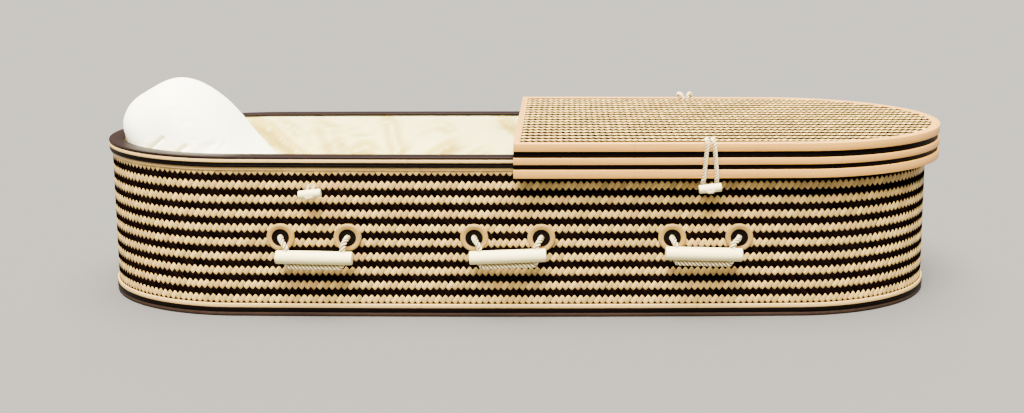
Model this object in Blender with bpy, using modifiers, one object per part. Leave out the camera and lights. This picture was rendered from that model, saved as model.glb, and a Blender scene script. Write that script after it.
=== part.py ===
"""Bamboo casket: woven oval body on a base board, half lid over the foot end, rope handles.

Metres, +Z up. The origin is at the centre of the underside, +X runs to the foot end,
-X to the head end with the pillow, and -Y is the front.
"""
import math

import bmesh
import bpy
from mathutils import Matrix, Vector

# Clearances
TOUCH_GAP = 0.0003
ROPE_HOLE_GAP = 0.0010

# The cutters of a thin cord's holes have fewer sides than a rope's
THIN_CORD = 0.007
THIN_HOLE_SIDES = 6
ROPE_HOLE_SIDES = 8

# Plan of the wall's outer face: bowed sides and half-elliptical ends
WALL_LENGTH = 1.960
WALL_WIDTH = 0.600
SIDE_BOW = 0.008
END_LENGTH = 0.354
END_STEPS = 14
SIDE_STEPS = 4

# Body heights and thicknesses
BASE_THICKNESS = 0.0095
BASE_OVERHANG = 0.004
BASE_BLACK_HEIGHT = 0.0100
BASE_BLACK_PROUD = 0.0045
BASE_NATURAL_HEIGHT = 0.0090
BASE_NATURAL_PROUD = 0.0035
WALL_HEIGHT = 0.3512
WALL_THICKNESS = 0.008
RIM_LOWER_HEIGHT = 0.0070
RIM_LOWER_PROUD = 0.003
RIM_BLACK_HEIGHT = 0.0108
RIM_BLACK_PROUD = 0.0065
RIM_UPPER_HEIGHT = 0.0070
RIM_PROUD = 0.0075
CAP_THICKNESS = 0.006
CAP_WIDTH = 0.0355

# Lining and pillow
LINING_THICKNESS = 0.003
LINING_INSET = 0.0245
PILLOW_LENGTH = 0.560
PILLOW_WIDTH = 0.386
PILLOW_THICKNESS = 0.338
PILLOW_SLOPE = math.radians(53.7)
PILLOW_FROM_HEAD = 0.2470
PILLOW_RISE = 0.2432
# The cage's thickness at its middle, at its sides and at its corners, and the corners' inset
PILLOW_RIM_SHARES = (1.0, 0.68, 0.40)
PILLOW_CORNER_INSET = 0.88

# Half lid
LID_LENGTH = 1.015
LID_STAND = 0.0350
LID_PROUD = 0.0314
BATTEN_THICKNESS = 0.0047
BATTEN_TOP_HEIGHT = 0.0180
BATTEN_MIDDLE_HEIGHT = 0.0150
BATTEN_BOTTOM_HEIGHT = 0.0190
BLACK_STRIPE_UPPER = 0.0145
BLACK_STRIPE_LOWER = 0.0115
SKIRT_THICKNESS = 0.006
FLANGE_THICKNESS = 0.009
FLANGE_WIDTH = 0.050
FLANGE_END_WIDTH = 0.028
CURB_WIDTH = 0.012
PANEL_THICKNESS = 0.006
BORDER_WIDTH = 0.015
BORDER_END_WIDTH = 0.014

# Handles: place name, distance along X, shift of the grip from there, its drop under the
# eyelets and its tilt
HANDLES = (
    ("head", -0.451, 0.0043, 0.0394, math.radians(-0.9)),
    ("middle", -0.018, 0.0009, 0.0355, math.radians(2.2)),
    ("foot", 0.424, -0.0067, 0.0306, math.radians(-1.55)),
)
EYELET_HEIGHT = 0.1832
EYELET_SPACING = 0.150
EYELET_DIAMETER = 0.062
EYELET_THICKNESS = 0.006
EYELET_RECESS_DIAMETER = 0.0385
EYELET_RECESS_DEPTH = 0.003
EYELET_STEPS = 10
GRIP_LENGTH = 0.170
GRIP_DIAMETER = 0.030
GRIP_STAND = 0.030
GRIP_HOLE_SPACING = 0.125
GRIP_SIDES = 12
ROPE_MOUTH_RISE = 0.003
HANDLE_ROPE_DIAMETER = 0.012

# Toggles: place name, distance along X, drop under their holes, stand from the wall
TOGGLES = (
    ("head", -0.4536, 0.0125, 0.024),
    ("foot", 0.4278, -0.0032, 0.037),
)
TOGGLE_HOLE_DROP = 0.061
TOGGLE_LENGTH = 0.0495
TOGGLE_DIAMETER = 0.019
TOGGLE_SIDES = 8
TOGGLE_TILT = math.radians(6.2)
TOGGLE_HOLE_SLOPE = math.radians(30)
TOGGLE_CORD_SPACING = 0.013
TOGGLE_CORD_DIAMETER = 0.0065
LOOP_DIAMETER = 0.0094
LOOP_INSET = 0.0055
LOOP_SPACING = 0.0125

# Routes of the ropes. A handle rope's first points are (share of the way from the grip's hole to
# the eyelet along the wall, out from the wall, share of the way up), the others are (inwards from
# the grip's hole, up from the grip's centre).
HANDLE_ROPE_AT_EYELET = ((1.0, -0.0150, 1.0), (1.0, 0.0055, 1.0), (0.825, 0.0160, 0.93),
                         (0.4375, 0.0250, 0.66), (0.1125, 0.0293, 0.30))
HANDLE_ROPE_AT_GRIP = ((0.0, 0.0180), (0.0, -0.0155), (0.0012, -0.0195), (0.0050, -0.0215),
                       (0.0100, -0.0219))
# A toggle cord's first points are (out from the wall, up from its hole), the others are (inwards
# from the toggle's hole, along that hole from the toggle's centre).
TOGGLE_CORD_AT_WALL = ((-0.0150, 0.0), (0.0050, 0.0))
TOGGLE_CORD_AT_TOGGLE = ((0.0, -0.0125), (0.0, 0.0105), (0.0015, 0.0126), (0.0065, 0.0134))
# A lid loop's first points are (along, out from the wall, up from the lid's top), the others
# are up from the foot toggle. The back loop is slack and spreads over the lid's edge.
LOOP_AT_LID = {
    "front": ((0.00625, 0.0055, -0.0283), (0.00625, 0.0055, 0.0022), (0.0065, 0.0115, 0.0066),
              (0.0070, 0.0245, 0.0066), (0.0075, 0.0332, 0.0057), (0.0078, 0.0375, 0.0012),
              (0.0085, 0.0386, -0.0093), (0.0130, 0.0386, -0.0603), (0.0140, 0.0372, -0.0783)),
    "back": ((0.00625, 0.0055, -0.0283), (0.00625, 0.0055, 0.0022), (0.0080, 0.0110, 0.0088),
             (0.0130, 0.0225, 0.0112), (0.0165, 0.0335, 0.0088), (0.0172, 0.0385, 0.0012),
             (0.0170, 0.0392, -0.0093), (0.0160, 0.0386, -0.0603), (0.0150, 0.0372, -0.0783)),
}
LOOP_AT_TOGGLE = ((0.0148, 0.0312, 0.0152), (0.0154, 0.0205, 0.0081), (0.0154, 0.0172, 0.0010),
                  (0.0145, 0.0168, -0.0050), (0.0095, 0.0165, -0.0080), (0.0, 0.0165, -0.0085))

# Worked out from the sizes above
HALF_WIDTH = WALL_WIDTH / 2
SIDE_HALF_LENGTH = WALL_LENGTH / 2 - END_LENGTH
WALL_BASE = BASE_THICKNESS + TOUCH_GAP
WALL_TOP = WALL_BASE + WALL_HEIGHT
TOGGLE_HOLE_HEIGHT = WALL_TOP - TOGGLE_HOLE_DROP
CAP_BASE = WALL_TOP + TOUCH_GAP
CAP_TOP = CAP_BASE + CAP_THICKNESS
CAP_INSET = CAP_WIDTH - RIM_PROUD
LID_TOP = CAP_TOP + LID_STAND
LOOP_X, LOOP_TOGGLE_DROP = TOGGLES[1][1:3]
LID_START = WALL_LENGTH / 2 + LID_PROUD - LID_LENGTH
BATTEN_INNER = LID_PROUD - BATTEN_THICKNESS
SKIRT_OUTER = BATTEN_INNER - TOUCH_GAP
SKIRT_INNER = SKIRT_OUTER - SKIRT_THICKNESS
PANEL_BASE = LID_TOP - PANEL_THICKNESS
FLANGE_TOP = PANEL_BASE - TOUCH_GAP
FLANGE_INNER = SKIRT_OUTER - FLANGE_WIDTH
BORDER_INNER = SKIRT_OUTER - BORDER_WIDTH

COLOURS = {
    "base_brown": ("5C4A40", 0.55),
    "black_bamboo": ("1E1410", 0.45),
    "natural_bamboo": ("DDC49A", 0.45),
    "woven_bamboo": ("A18A68", 0.50),
    "cap_brown": ("4A3B38", 0.50),
    "cream_cloth": ("FBF3D5", 0.90),
    "white_cloth": ("FFFDF0", 0.90),
    "turned_wood": ("E0CBA3", 0.50),
    "pale_wood": ("FFF8E8", 0.45),
    "white_rope": ("FFFDF5", 0.85),
}


def clear_scene():
    for existing in list(bpy.data.objects):
        bpy.data.objects.remove(existing, do_unlink=True)


def new_collection(name):
    collection = bpy.data.collections.new(name)
    bpy.context.scene.collection.children.link(collection)
    return collection


def linear(hex_colour):
    channels = [int(hex_colour[i:i + 2], 16) / 255 for i in (0, 2, 4)]
    return [c / 12.92 if c <= 0.04045 else ((c + 0.055) / 1.055) ** 2.4 for c in channels]


def new_material(name, finish):
    hex_colour, roughness = COLOURS[finish]
    material = bpy.data.materials.new(name)
    material.use_nodes = True
    shader = material.node_tree.nodes["Principled BSDF"]
    shader.inputs["Base Color"].default_value = (*linear(hex_colour), 1)
    shader.inputs["Roughness"].default_value = roughness
    material.diffuse_color = (*linear(hex_colour), 1)
    return material


def add_object(name, mesh, finish=None, collection=None, matrix=None):
    """Links an object to its collection, with a material of its own."""
    piece = bpy.data.objects.new(name, mesh)
    (collection or parts).objects.link(piece)
    if finish:
        material = new_material(name, finish)
        if not piece.data.materials:
            piece.data.materials.append(None)
        piece.material_slots[0].link = "OBJECT"
        piece.material_slots[0].material = material
    if matrix is not None:
        piece.matrix_world = matrix
    return piece


def baked_mesh(source, name):
    """The evaluated mesh of an object, welded, with the object removed."""
    bpy.context.view_layer.update()
    evaluated = source.evaluated_get(bpy.context.evaluated_depsgraph_get())
    mesh = bpy.data.meshes.new_from_object(evaluated)
    mesh.transform(source.matrix_world)
    mesh.name = name
    bm = bmesh.new()
    bm.from_mesh(mesh)
    bmesh.ops.remove_doubles(bm, verts=bm.verts, dist=1e-6)
    bmesh.ops.recalc_face_normals(bm, faces=bm.faces)
    bm.to_mesh(mesh)
    bm.free()
    mesh.materials.clear()
    data = source.data
    bpy.data.objects.remove(source, do_unlink=True)
    if isinstance(data, bpy.types.Curve):
        bpy.data.curves.remove(data)
    return mesh


def smooth(piece, angle=math.radians(40)):
    piece.data.shade_smooth()
    piece.data.set_sharp_from_angle(angle=angle)


def side_y(x, offset=0.0):
    """Half width of the plan at x on the bowed side."""
    return HALF_WIDTH + offset - SIDE_BOW * (x / SIDE_HALF_LENGTH) ** 2


def end_points(offset):
    """Half-elliptical foot end, from the front side to the back."""
    points = []
    for step in range(END_STEPS + 1):
        angle = math.pi * (step / END_STEPS - 0.5)
        x = SIDE_HALF_LENGTH + (END_LENGTH + offset) * math.cos(angle)
        points.append((x, (HALF_WIDTH - SIDE_BOW + offset) * math.sin(angle)))
    return points


def full_outline(offset):
    """The whole plan, at a distance out from the wall's outer face."""
    foot = end_points(offset)
    step_length = 2 * SIDE_HALF_LENGTH / SIDE_STEPS
    side = [SIDE_HALF_LENGTH - step_length * step for step in range(1, SIDE_STEPS)]
    back = [(x, side_y(x, offset)) for x in side]
    head = [(-x, -y) for x, y in foot]
    front = [(-x, -y) for x, y in back]
    return foot + back + head + front


def lid_outline(offset, start):
    """The plan of the foot half, cut square at x = start."""
    middle = SIDE_HALF_LENGTH / 2
    side = [(start, side_y(start, offset)), (middle, side_y(middle, offset))]
    front = [(x, -y) for x, y in side]
    return front + end_points(offset) + side[::-1]


def plate_mesh(name, outlines, low, high):
    """A flat plate between two heights: a 2D curve, filled and extruded. Inner outlines are holes."""
    curve = bpy.data.curves.new(name, "CURVE")
    curve.dimensions = "2D"
    curve.fill_mode = "BOTH"
    curve.extrude = (high - low) / 2
    for outline in outlines:
        spline = curve.splines.new("POLY")
        spline.points.add(len(outline) - 1)
        for point, (x, y) in zip(spline.points, outline):
            point.co = (x, y, 0, 1)
        spline.use_cyclic_u = True
    source = bpy.data.objects.new(name, curve)
    parts.objects.link(source)
    source.location.z = (high + low) / 2
    return baked_mesh(source, name)


def hoop(name, finish, inner, outer, low, high):
    """A batten bent around the whole plan."""
    mesh = plate_mesh(name, (full_outline(outer), full_outline(inner)), low, high)
    piece = add_object(name, mesh, finish)
    smooth(piece)


def half_hoop_mesh(name, inner, outer, low, high):
    """A batten bent around the foot half, open at the lid's straight end."""
    outline = lid_outline(outer, LID_START) + lid_outline(inner, LID_START)[::-1]
    return plate_mesh(name, (outline,), low, high)


def lid_ring_mesh(name, inner, outer, end_width, low, high):
    """A closed ring around the foot half, with a straight bar at the lid's end."""
    outlines = (lid_outline(outer, LID_START), lid_outline(inner, LID_START + end_width))
    return plate_mesh(name, outlines, low, high)


def cylinder(name, radius, length, sides, axis="Z"):
    bpy.ops.mesh.primitive_cylinder_add(vertices=sides, radius=radius, depth=length)
    piece = bpy.context.object
    piece.name = name
    turn = {"X": Matrix.Rotation(math.pi / 2, 4, "Y"), "Y": Matrix.Rotation(math.pi / 2, 4, "X")}
    if axis in turn:
        piece.data.transform(turn[axis])
    for collection in list(piece.users_collection):
        collection.objects.unlink(piece)
    cutters.objects.link(piece)
    return piece


def join_shapes(target_mesh, name, others, operation):
    """Boolean of a mesh with a list of meshes or cutter objects, as one new mesh."""
    tools = bpy.data.collections.new(f"{name}_tools")
    cutters.children.link(tools)
    for number, other in enumerate(others):
        if isinstance(other, bpy.types.Mesh):
            other = add_object(f"{name}_tool_{number}", other, collection=cutters)
        other.hide_render = True
        other.display_type = "WIRE"
        cutters.objects.unlink(other)
        tools.objects.link(other)
    target = add_object(name, target_mesh)
    modifier = target.modifiers.new("tools", "BOOLEAN")
    modifier.operand_type = "COLLECTION"
    modifier.collection = tools
    modifier.operation = operation
    modifier.solver = "EXACT"
    return baked_mesh(target, name)


def rope_cutter(name, diameter, length, matrix, axis):
    sides = ROPE_HOLE_SIDES if diameter > THIN_CORD else THIN_HOLE_SIDES
    cutter = cylinder(name, diameter / 2 + ROPE_HOLE_GAP, length, sides, axis)
    cutter.matrix_world = matrix
    return cutter


def wall_frame(x, height, side):
    """A frame on the wall: local Y points out of it, local Z up. side is -1 in front, 1 behind."""
    slope = -2 * SIDE_BOW * x / SIDE_HALF_LENGTH ** 2
    out = Vector((-slope, side, 0)).normalized()
    along = out.cross(Vector((0, 0, 1)))
    frame = Matrix((along, out, (0, 0, 1))).transposed().to_4x4()
    frame.translation = (x, side * side_y(x), height)
    return frame


def tube(name, points, diameter):
    """A rope along its points, with filled ends."""
    curve = bpy.data.curves.new(name, "CURVE")
    curve.dimensions = "3D"
    curve.bevel_depth = diameter / 2
    curve.bevel_resolution = 2
    curve.use_fill_caps = True
    spline = curve.splines.new("POLY")
    spline.points.add(len(points) - 1)
    for point, place in zip(spline.points, points):
        point.co = (*place, 1)
    source = bpy.data.objects.new(name, curve)
    parts.objects.link(source)
    rope = add_object(name, baked_mesh(source, name), "white_rope")
    smooth(rope)


def mirrored_route(half):
    """A route from its first half: the last point is on the middle plane."""
    return half + [(-x, y, z) for x, y, z in half[-2::-1]]


def make_base():
    board = plate_mesh("base_board", (full_outline(BASE_OVERHANG),), 0, BASE_THICKNESS)
    smooth(add_object("base_board", board, "base_brown"))
    black_top = WALL_BASE + BASE_BLACK_HEIGHT
    hoop("base_band_black", "black_bamboo", TOUCH_GAP, BASE_BLACK_PROUD, WALL_BASE, black_top)
    natural_base = black_top + TOUCH_GAP
    hoop("base_band_natural", "natural_bamboo", TOUCH_GAP, BASE_NATURAL_PROUD,
         natural_base, natural_base + BASE_NATURAL_HEIGHT)


def wall_holes(name, x, height, spacing, diameter, side):
    """Cutters for the two holes of one handle or toggle."""
    holes = []
    for end in (-1, 1):
        frame = wall_frame(x, height, side) @ Matrix.Translation((end * spacing / 2, 0, 0))
        holes.append(rope_cutter(name, diameter, 4 * WALL_THICKNESS, frame, "Y"))
    return holes


def make_wall():
    outlines = (full_outline(0), full_outline(-WALL_THICKNESS))
    mesh = plate_mesh("woven_wall", outlines, WALL_BASE, WALL_TOP)
    holes = []
    for side in (-1, 1):
        for place, x, *_ in HANDLES:
            holes += wall_holes(f"eyelet_hole_{place}", x, EYELET_HEIGHT, EYELET_SPACING,
                                HANDLE_ROPE_DIAMETER, side)
        for place, x, *_ in TOGGLES:
            holes += wall_holes(f"toggle_hole_{place}", x, TOGGLE_HOLE_HEIGHT, TOGGLE_CORD_SPACING,
                                TOGGLE_CORD_DIAMETER, side)
    wall = add_object("woven_wall", join_shapes(mesh, "woven_wall", holes, "DIFFERENCE"), "woven_bamboo")
    smooth(wall)


def make_rim():
    upper_base = WALL_TOP - RIM_UPPER_HEIGHT
    black_base = upper_base - TOUCH_GAP - RIM_BLACK_HEIGHT
    lower_base = black_base - TOUCH_GAP - RIM_LOWER_HEIGHT
    hoop("rim_band_upper", "natural_bamboo", TOUCH_GAP, RIM_PROUD, upper_base, WALL_TOP)
    hoop("rim_band_black", "black_bamboo", TOUCH_GAP, RIM_BLACK_PROUD,
         black_base, black_base + RIM_BLACK_HEIGHT)
    hoop("rim_band_lower", "natural_bamboo", TOUCH_GAP, RIM_LOWER_PROUD,
         lower_base, lower_base + RIM_LOWER_HEIGHT)
    hoop("rim_cap", "cap_brown", -CAP_INSET, RIM_PROUD, CAP_BASE, CAP_TOP)


def make_lining():
    """The cloth inside, as an open tub: its floor and sides, thickened inwards."""
    bm = bmesh.new()
    corners = [bm.verts.new((x, y, WALL_BASE)) for x, y in full_outline(-LINING_INSET)]
    floor = bm.faces.new(corners)
    sides = bmesh.ops.extrude_edge_only(bm, edges=floor.edges[:])["geom"]
    lifted = [item for item in sides if isinstance(item, bmesh.types.BMVert)]
    bmesh.ops.translate(bm, verts=lifted, vec=(0, 0, WALL_HEIGHT))
    bmesh.ops.recalc_face_normals(bm, faces=bm.faces)
    mesh = bpy.data.meshes.new("lining")
    bm.to_mesh(mesh)
    bm.free()
    lining = add_object("lining", mesh, "cream_cloth")
    shell = lining.modifiers.new("cloth", "SOLIDIFY")
    shell.thickness = LINING_THICKNESS
    shell.offset = -1
    shell.use_even_offset = True
    smooth(lining)


def make_pillow():
    """A plump pillow that stands on the floor of the casket and leans over its head end."""
    bm = bmesh.new()
    bmesh.ops.create_cube(bm, size=2)
    bmesh.ops.subdivide_edges(bm, edges=bm.edges[:], cuts=1, use_grid_fill=True)
    half_size = Vector((PILLOW_LENGTH, PILLOW_WIDTH, PILLOW_THICKNESS)) / 2
    for corner in bm.verts:
        rims = round(abs(corner.co.x)) + round(abs(corner.co.y))
        corner.co.z *= PILLOW_RIM_SHARES[rims]
        if rims == 2:
            corner.co.xy *= PILLOW_CORNER_INSET
        corner.co *= half_size
    mesh = bpy.data.meshes.new("pillow")
    bm.to_mesh(mesh)
    bm.free()
    pillow = add_object("pillow", mesh, "white_cloth")
    floor = WALL_BASE + LINING_THICKNESS
    pillow.location = (-WALL_LENGTH / 2 + PILLOW_FROM_HEAD, 0, floor + PILLOW_RISE)
    pillow.rotation_euler = (0, PILLOW_SLOPE, 0)
    rounding = pillow.modifiers.new("rounding", "SUBSURF")
    rounding.levels = 1
    rounding.render_levels = 1
    smooth(pillow)


def eyelet_mesh():
    """A turned washer: its profile is (radius, out), turned about the local Y axis."""
    outer = EYELET_DIAMETER / 2
    hole = HANDLE_ROPE_DIAMETER / 2 + ROPE_HOLE_GAP
    recess = EYELET_RECESS_DIAMETER / 2
    depth = EYELET_THICKNESS - EYELET_RECESS_DEPTH
    profile = [(hole, depth), (recess, depth), (recess, EYELET_THICKNESS),
               (outer, EYELET_THICKNESS), (outer, 0), (hole, 0)]
    bm = bmesh.new()
    points = [bm.verts.new((radius, out + TOUCH_GAP, 0)) for radius, out in profile]
    for first, second in zip(points, points[1:] + points[:1]):
        bm.edges.new((first, second))
    mesh = bpy.data.meshes.new("eyelet_profile")
    bm.to_mesh(mesh)
    bm.free()
    source = add_object("eyelet_profile", mesh)
    turning = source.modifiers.new("turning", "SCREW")
    turning.axis = "Y"
    turning.steps = EYELET_STEPS
    turning.render_steps = EYELET_STEPS
    turning.use_merge_vertices = True
    turning.merge_threshold = 0.00001
    return baked_mesh(source, "eyelet")


def bar_mesh(name, length, diameter, sides, cord_diameter, hole_spacing, hole_turn):
    """A wooden dowel along local X with two cross holes, turned about X from the upright."""
    mesh = baked_mesh(cylinder(name, diameter / 2, length, sides, "X"), name)
    turn = Matrix.Rotation(hole_turn, 4, "X")
    holes = [rope_cutter(f"{name}_hole", cord_diameter, 2 * diameter,
                         Matrix.Translation((end * hole_spacing / 2, 0, 0)) @ turn, "Z") for end in (-1, 1)]
    return join_shapes(mesh, name, holes, "DIFFERENCE")


def make_handles():
    eyelet = eyelet_mesh()
    grip = bar_mesh("grip", GRIP_LENGTH, GRIP_DIAMETER, GRIP_SIDES,
                    HANDLE_ROPE_DIAMETER, GRIP_HOLE_SPACING, 0)
    for side, side_name in ((-1, "front"), (1, "back")):
        for place, x, shift, drop, tilt in HANDLES:
            frame = wall_frame(x, EYELET_HEIGHT, side)
            name = f"{side_name}_{place}"
            for end, end_name in ((side, "a"), (-side, "b")):
                matrix = frame @ Matrix.Translation((end * EYELET_SPACING / 2, 0, 0))
                smooth(add_object(f"eyelet_{name}_{end_name}", eyelet, "turned_wood", matrix=matrix))
            hang = frame @ Matrix.Translation((side * shift, GRIP_STAND, -drop))
            hang = hang @ Matrix.Rotation(-side * tilt, 4, "Y")
            smooth(add_object(f"grip_{name}", grip, "pale_wood", matrix=hang))
            tube(f"handle_rope_{name}", handle_route(frame, hang, side * shift, drop), HANDLE_ROPE_DIAMETER)


def handle_route(frame, hang, shift, drop):
    """Points of a handle rope: eyelet, grip, along under it, and up to the other eyelet."""
    rise = drop - GRIP_DIAMETER / 2 - ROPE_MOUTH_RISE
    upper = []
    for sign in (1, -1):
        eyelet = sign * EYELET_SPACING / 2
        hole = sign * GRIP_HOLE_SPACING / 2 + shift
        upper.append([frame @ Vector((hole + near * (eyelet - hole), out, (share - 1) * rise))
                      for near, out, share in HANDLE_ROPE_AT_EYELET])
    lower = [(GRIP_HOLE_SPACING / 2 - inward, 0, up) for inward, up in HANDLE_ROPE_AT_GRIP]
    lower = [hang @ Vector(point) for point in lower + [(-x, y, z) for x, y, z in lower[::-1]]]
    return upper[0] + lower + upper[1][::-1]


def toggle_route(frame, hang):
    """Points of a toggle cord: wall, through the toggle, across its front, and back to the wall."""
    half = TOGGLE_CORD_SPACING / 2
    upper = [[frame @ Vector((sign * half, out, up)) for out, up in TOGGLE_CORD_AT_WALL] for sign in (1, -1)]
    lower = [(half - inward, reach * math.cos(TOGGLE_HOLE_SLOPE), -reach * math.sin(TOGGLE_HOLE_SLOPE))
             for inward, reach in TOGGLE_CORD_AT_TOGGLE]
    lower = [hang @ Vector(point) for point in mirrored_route(lower)]
    return upper[0] + lower + upper[1][::-1]


def make_toggles():
    toggle = bar_mesh("toggle", TOGGLE_LENGTH, TOGGLE_DIAMETER, TOGGLE_SIDES,
                      TOGGLE_CORD_DIAMETER, TOGGLE_CORD_SPACING, math.pi / 2 - TOGGLE_HOLE_SLOPE)
    for side, side_name in ((-1, "front"), (1, "back")):
        for place, x, drop, stand in TOGGLES:
            frame = wall_frame(x, TOGGLE_HOLE_HEIGHT, side)
            hang = frame @ Matrix.Translation((0, stand, -drop))
            hang = hang @ Matrix.Rotation(-side * TOGGLE_TILT, 4, "Y")
            name = f"{side_name}_{place}"
            smooth(add_object(f"toggle_{name}", toggle, "pale_wood", matrix=hang))
            tube(f"toggle_cord_{name}", toggle_route(frame, hang), TOGGLE_CORD_DIAMETER)


def loop_cutters():
    """Holes for the two ends of each lid loop, down through the lid's top."""
    holes = []
    for side in (-1, 1):
        for end in (-1, 1):
            place = Matrix.Translation((end * LOOP_SPACING / 2, LOOP_INSET, 0))
            frame = wall_frame(LOOP_X, LID_TOP, side) @ place
            holes.append(rope_cutter("loop_hole", LOOP_DIAMETER, 2 * LID_STAND, frame, "Z"))
    return holes


def loop_route(side, side_name):
    frame = wall_frame(LOOP_X, 0, side)
    toggle_height = TOGGLE_HOLE_HEIGHT - LOOP_TOGGLE_DROP
    half = [(along, out, LID_TOP + up) for along, out, up in LOOP_AT_LID[side_name]]
    half += [(along, out, toggle_height + up) for along, out, up in LOOP_AT_TOGGLE]
    return [frame @ Vector(point) for point in mirrored_route(half)]


def make_lid():
    stripes = (("lid_batten_top", 0, BATTEN_TOP_HEIGHT),
               ("lid_batten_middle", BLACK_STRIPE_UPPER, BATTEN_MIDDLE_HEIGHT),
               ("lid_batten_bottom", BLACK_STRIPE_LOWER, BATTEN_BOTTOM_HEIGHT))
    high = LID_TOP
    for name, stripe, height in stripes:
        high -= stripe
        low = high - height
        batten = half_hoop_mesh(name, BATTEN_INNER, LID_PROUD, low, high)
        smooth(add_object(name, batten, "natural_bamboo"))
        high = low
    flange_base = FLANGE_TOP - FLANGE_THICKNESS
    flange = lid_ring_mesh("lid_flange", FLANGE_INNER, SKIRT_OUTER, FLANGE_END_WIDTH,
                           flange_base, FLANGE_TOP)
    curb = lid_ring_mesh("lid_curb", FLANGE_INNER, FLANGE_INNER + CURB_WIDTH, BORDER_END_WIDTH,
                         CAP_TOP + TOUCH_GAP, flange_base + TOUCH_GAP)
    skirt = half_hoop_mesh("lid_skirt", SKIRT_INNER, SKIRT_OUTER, low, flange_base + TOUCH_GAP)
    frame_mesh = join_shapes(flange, "lid_frame", [curb, skirt], "UNION")
    frame_mesh = join_shapes(frame_mesh, "lid_frame", loop_cutters(), "DIFFERENCE")
    smooth(add_object("lid_frame", frame_mesh, "black_bamboo"))
    border = lid_ring_mesh("lid_border", BORDER_INNER, SKIRT_OUTER, BORDER_END_WIDTH, PANEL_BASE, LID_TOP)
    smooth(add_object("lid_border", border, "natural_bamboo"))
    outline = lid_outline(BORDER_INNER - TOUCH_GAP, LID_START + BORDER_END_WIDTH + TOUCH_GAP)
    panel = plate_mesh("lid_woven_panel", (outline,), PANEL_BASE, LID_TOP - TOUCH_GAP)
    panel = join_shapes(panel, "lid_woven_panel", loop_cutters(), "DIFFERENCE")
    smooth(add_object("lid_woven_panel", panel, "woven_bamboo"))
    for side, side_name in ((-1, "front"), (1, "back")):
        tube(f"lid_loop_{side_name}", loop_route(side, side_name), LOOP_DIAMETER)


clear_scene()
parts = new_collection("bamboo_casket")
cutters = new_collection("cutters")
make_base()
make_wall()
make_rim()
make_lining()
make_pillow()
make_handles()
make_toggles()
make_lid()
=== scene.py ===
"""Bamboo casket: woven strips, bent battens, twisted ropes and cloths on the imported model."""
import math

import bmesh
import bpy
import numpy as np
from mathutils import Matrix, Vector


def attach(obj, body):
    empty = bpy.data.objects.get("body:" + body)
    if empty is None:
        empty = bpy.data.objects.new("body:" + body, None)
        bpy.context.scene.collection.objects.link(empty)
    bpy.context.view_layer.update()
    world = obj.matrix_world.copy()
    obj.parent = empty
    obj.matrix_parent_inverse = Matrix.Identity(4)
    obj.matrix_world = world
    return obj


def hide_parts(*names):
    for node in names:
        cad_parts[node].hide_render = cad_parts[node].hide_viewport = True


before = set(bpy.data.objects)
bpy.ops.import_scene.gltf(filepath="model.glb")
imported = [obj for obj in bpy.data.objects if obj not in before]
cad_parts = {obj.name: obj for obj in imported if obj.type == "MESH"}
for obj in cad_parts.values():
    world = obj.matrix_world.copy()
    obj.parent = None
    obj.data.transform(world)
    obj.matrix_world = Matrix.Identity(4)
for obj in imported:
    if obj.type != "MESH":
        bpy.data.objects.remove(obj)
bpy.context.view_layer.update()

bl_info = {
    "name": "Bamboo Casket",
    "version": (1, 0, 0),
    "blender": (4, 5, 0),
    "location": "3D View > Sidebar > Casket",
    "description": "Makes a woven bamboo casket piece by piece",
    "category": "Add Mesh",
}

# Plan of the wall's outer face: bowed sides and half-elliptical ends
WALL_LENGTH = 1.960
HALF_WIDTH = 0.300
SIDE_BOW = 0.008
END_LENGTH = 0.354
SIDE_HALF_LENGTH = WALL_LENGTH / 2 - END_LENGTH
END_STEPS = 48
SIDE_STEPS = 20

# Heights: (low, high)
BASE_BOARD = (0.0, 0.0095)
BASE_BLACK = (0.0098, 0.0198)
BASE_NATURAL = (0.0201, 0.0291)
WALL = (0.0098, 0.3610)
RIM_LOWER = (0.3356, 0.3426)
RIM_BLACK = (0.3429, 0.3537)
RIM_UPPER = (0.3540, 0.3610)
RIM_CAP = (0.3613, 0.3673)
LID_BATTENS = {"top": (0.3843, 0.4023), "middle": (0.3548, 0.3698), "bottom": (0.3243, 0.3433)}
LID_SKIRT = (0.3243, 0.3875)
LID_FLANGE = (0.3870, 0.3960)
LID_CURB = (0.3676, 0.3875)
LID_BORDER = (0.3963, 0.4023)
LID_TOP = 0.4023

# Distances out from the wall's outer face: (inner, outer)
BOARD_PROUD = 0.004
BASE_BLACK_FACES = (0.0, 0.0045)
BASE_NATURAL_FACES = (0.0, 0.0035)
RIM_LOWER_FACES = (0.0, 0.003)
RIM_BLACK_FACES = (0.0, 0.0065)
RIM_UPPER_FACES = (0.0, 0.0075)
RIM_CAP_FACES = (-0.028, 0.0075)
WALL_CORE_FACES = (-0.008, -0.0019)
LINING_FACE = -0.0255
LID_BATTEN_FACES = (0.0267, 0.0314)
LID_SKIRT_FACES = (0.0204, 0.0264)
LID_FLANGE_FACES = (-0.0236, 0.0264)
LID_CURB_FACES = (-0.0236, -0.0116)
LID_BORDER_FACES = (0.0114, 0.0264)

# The lid's straight end: where it starts, and how far its bars reach from there
LID_START = -0.0036
LID_BORDER_END = 0.014
LID_FLANGE_END = 0.028

# Weave: level of the first crossing, and floats that run under a band are cut off inside it
WALL_WEAVE_BASE = 0.035025
WALL_WEAVE_LIMITS = (0.0215, 0.3400)
LID_WEAVE_FACE = LID_TOP - 0.0010
LID_WEAVE_TUCK = 0.010
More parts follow.
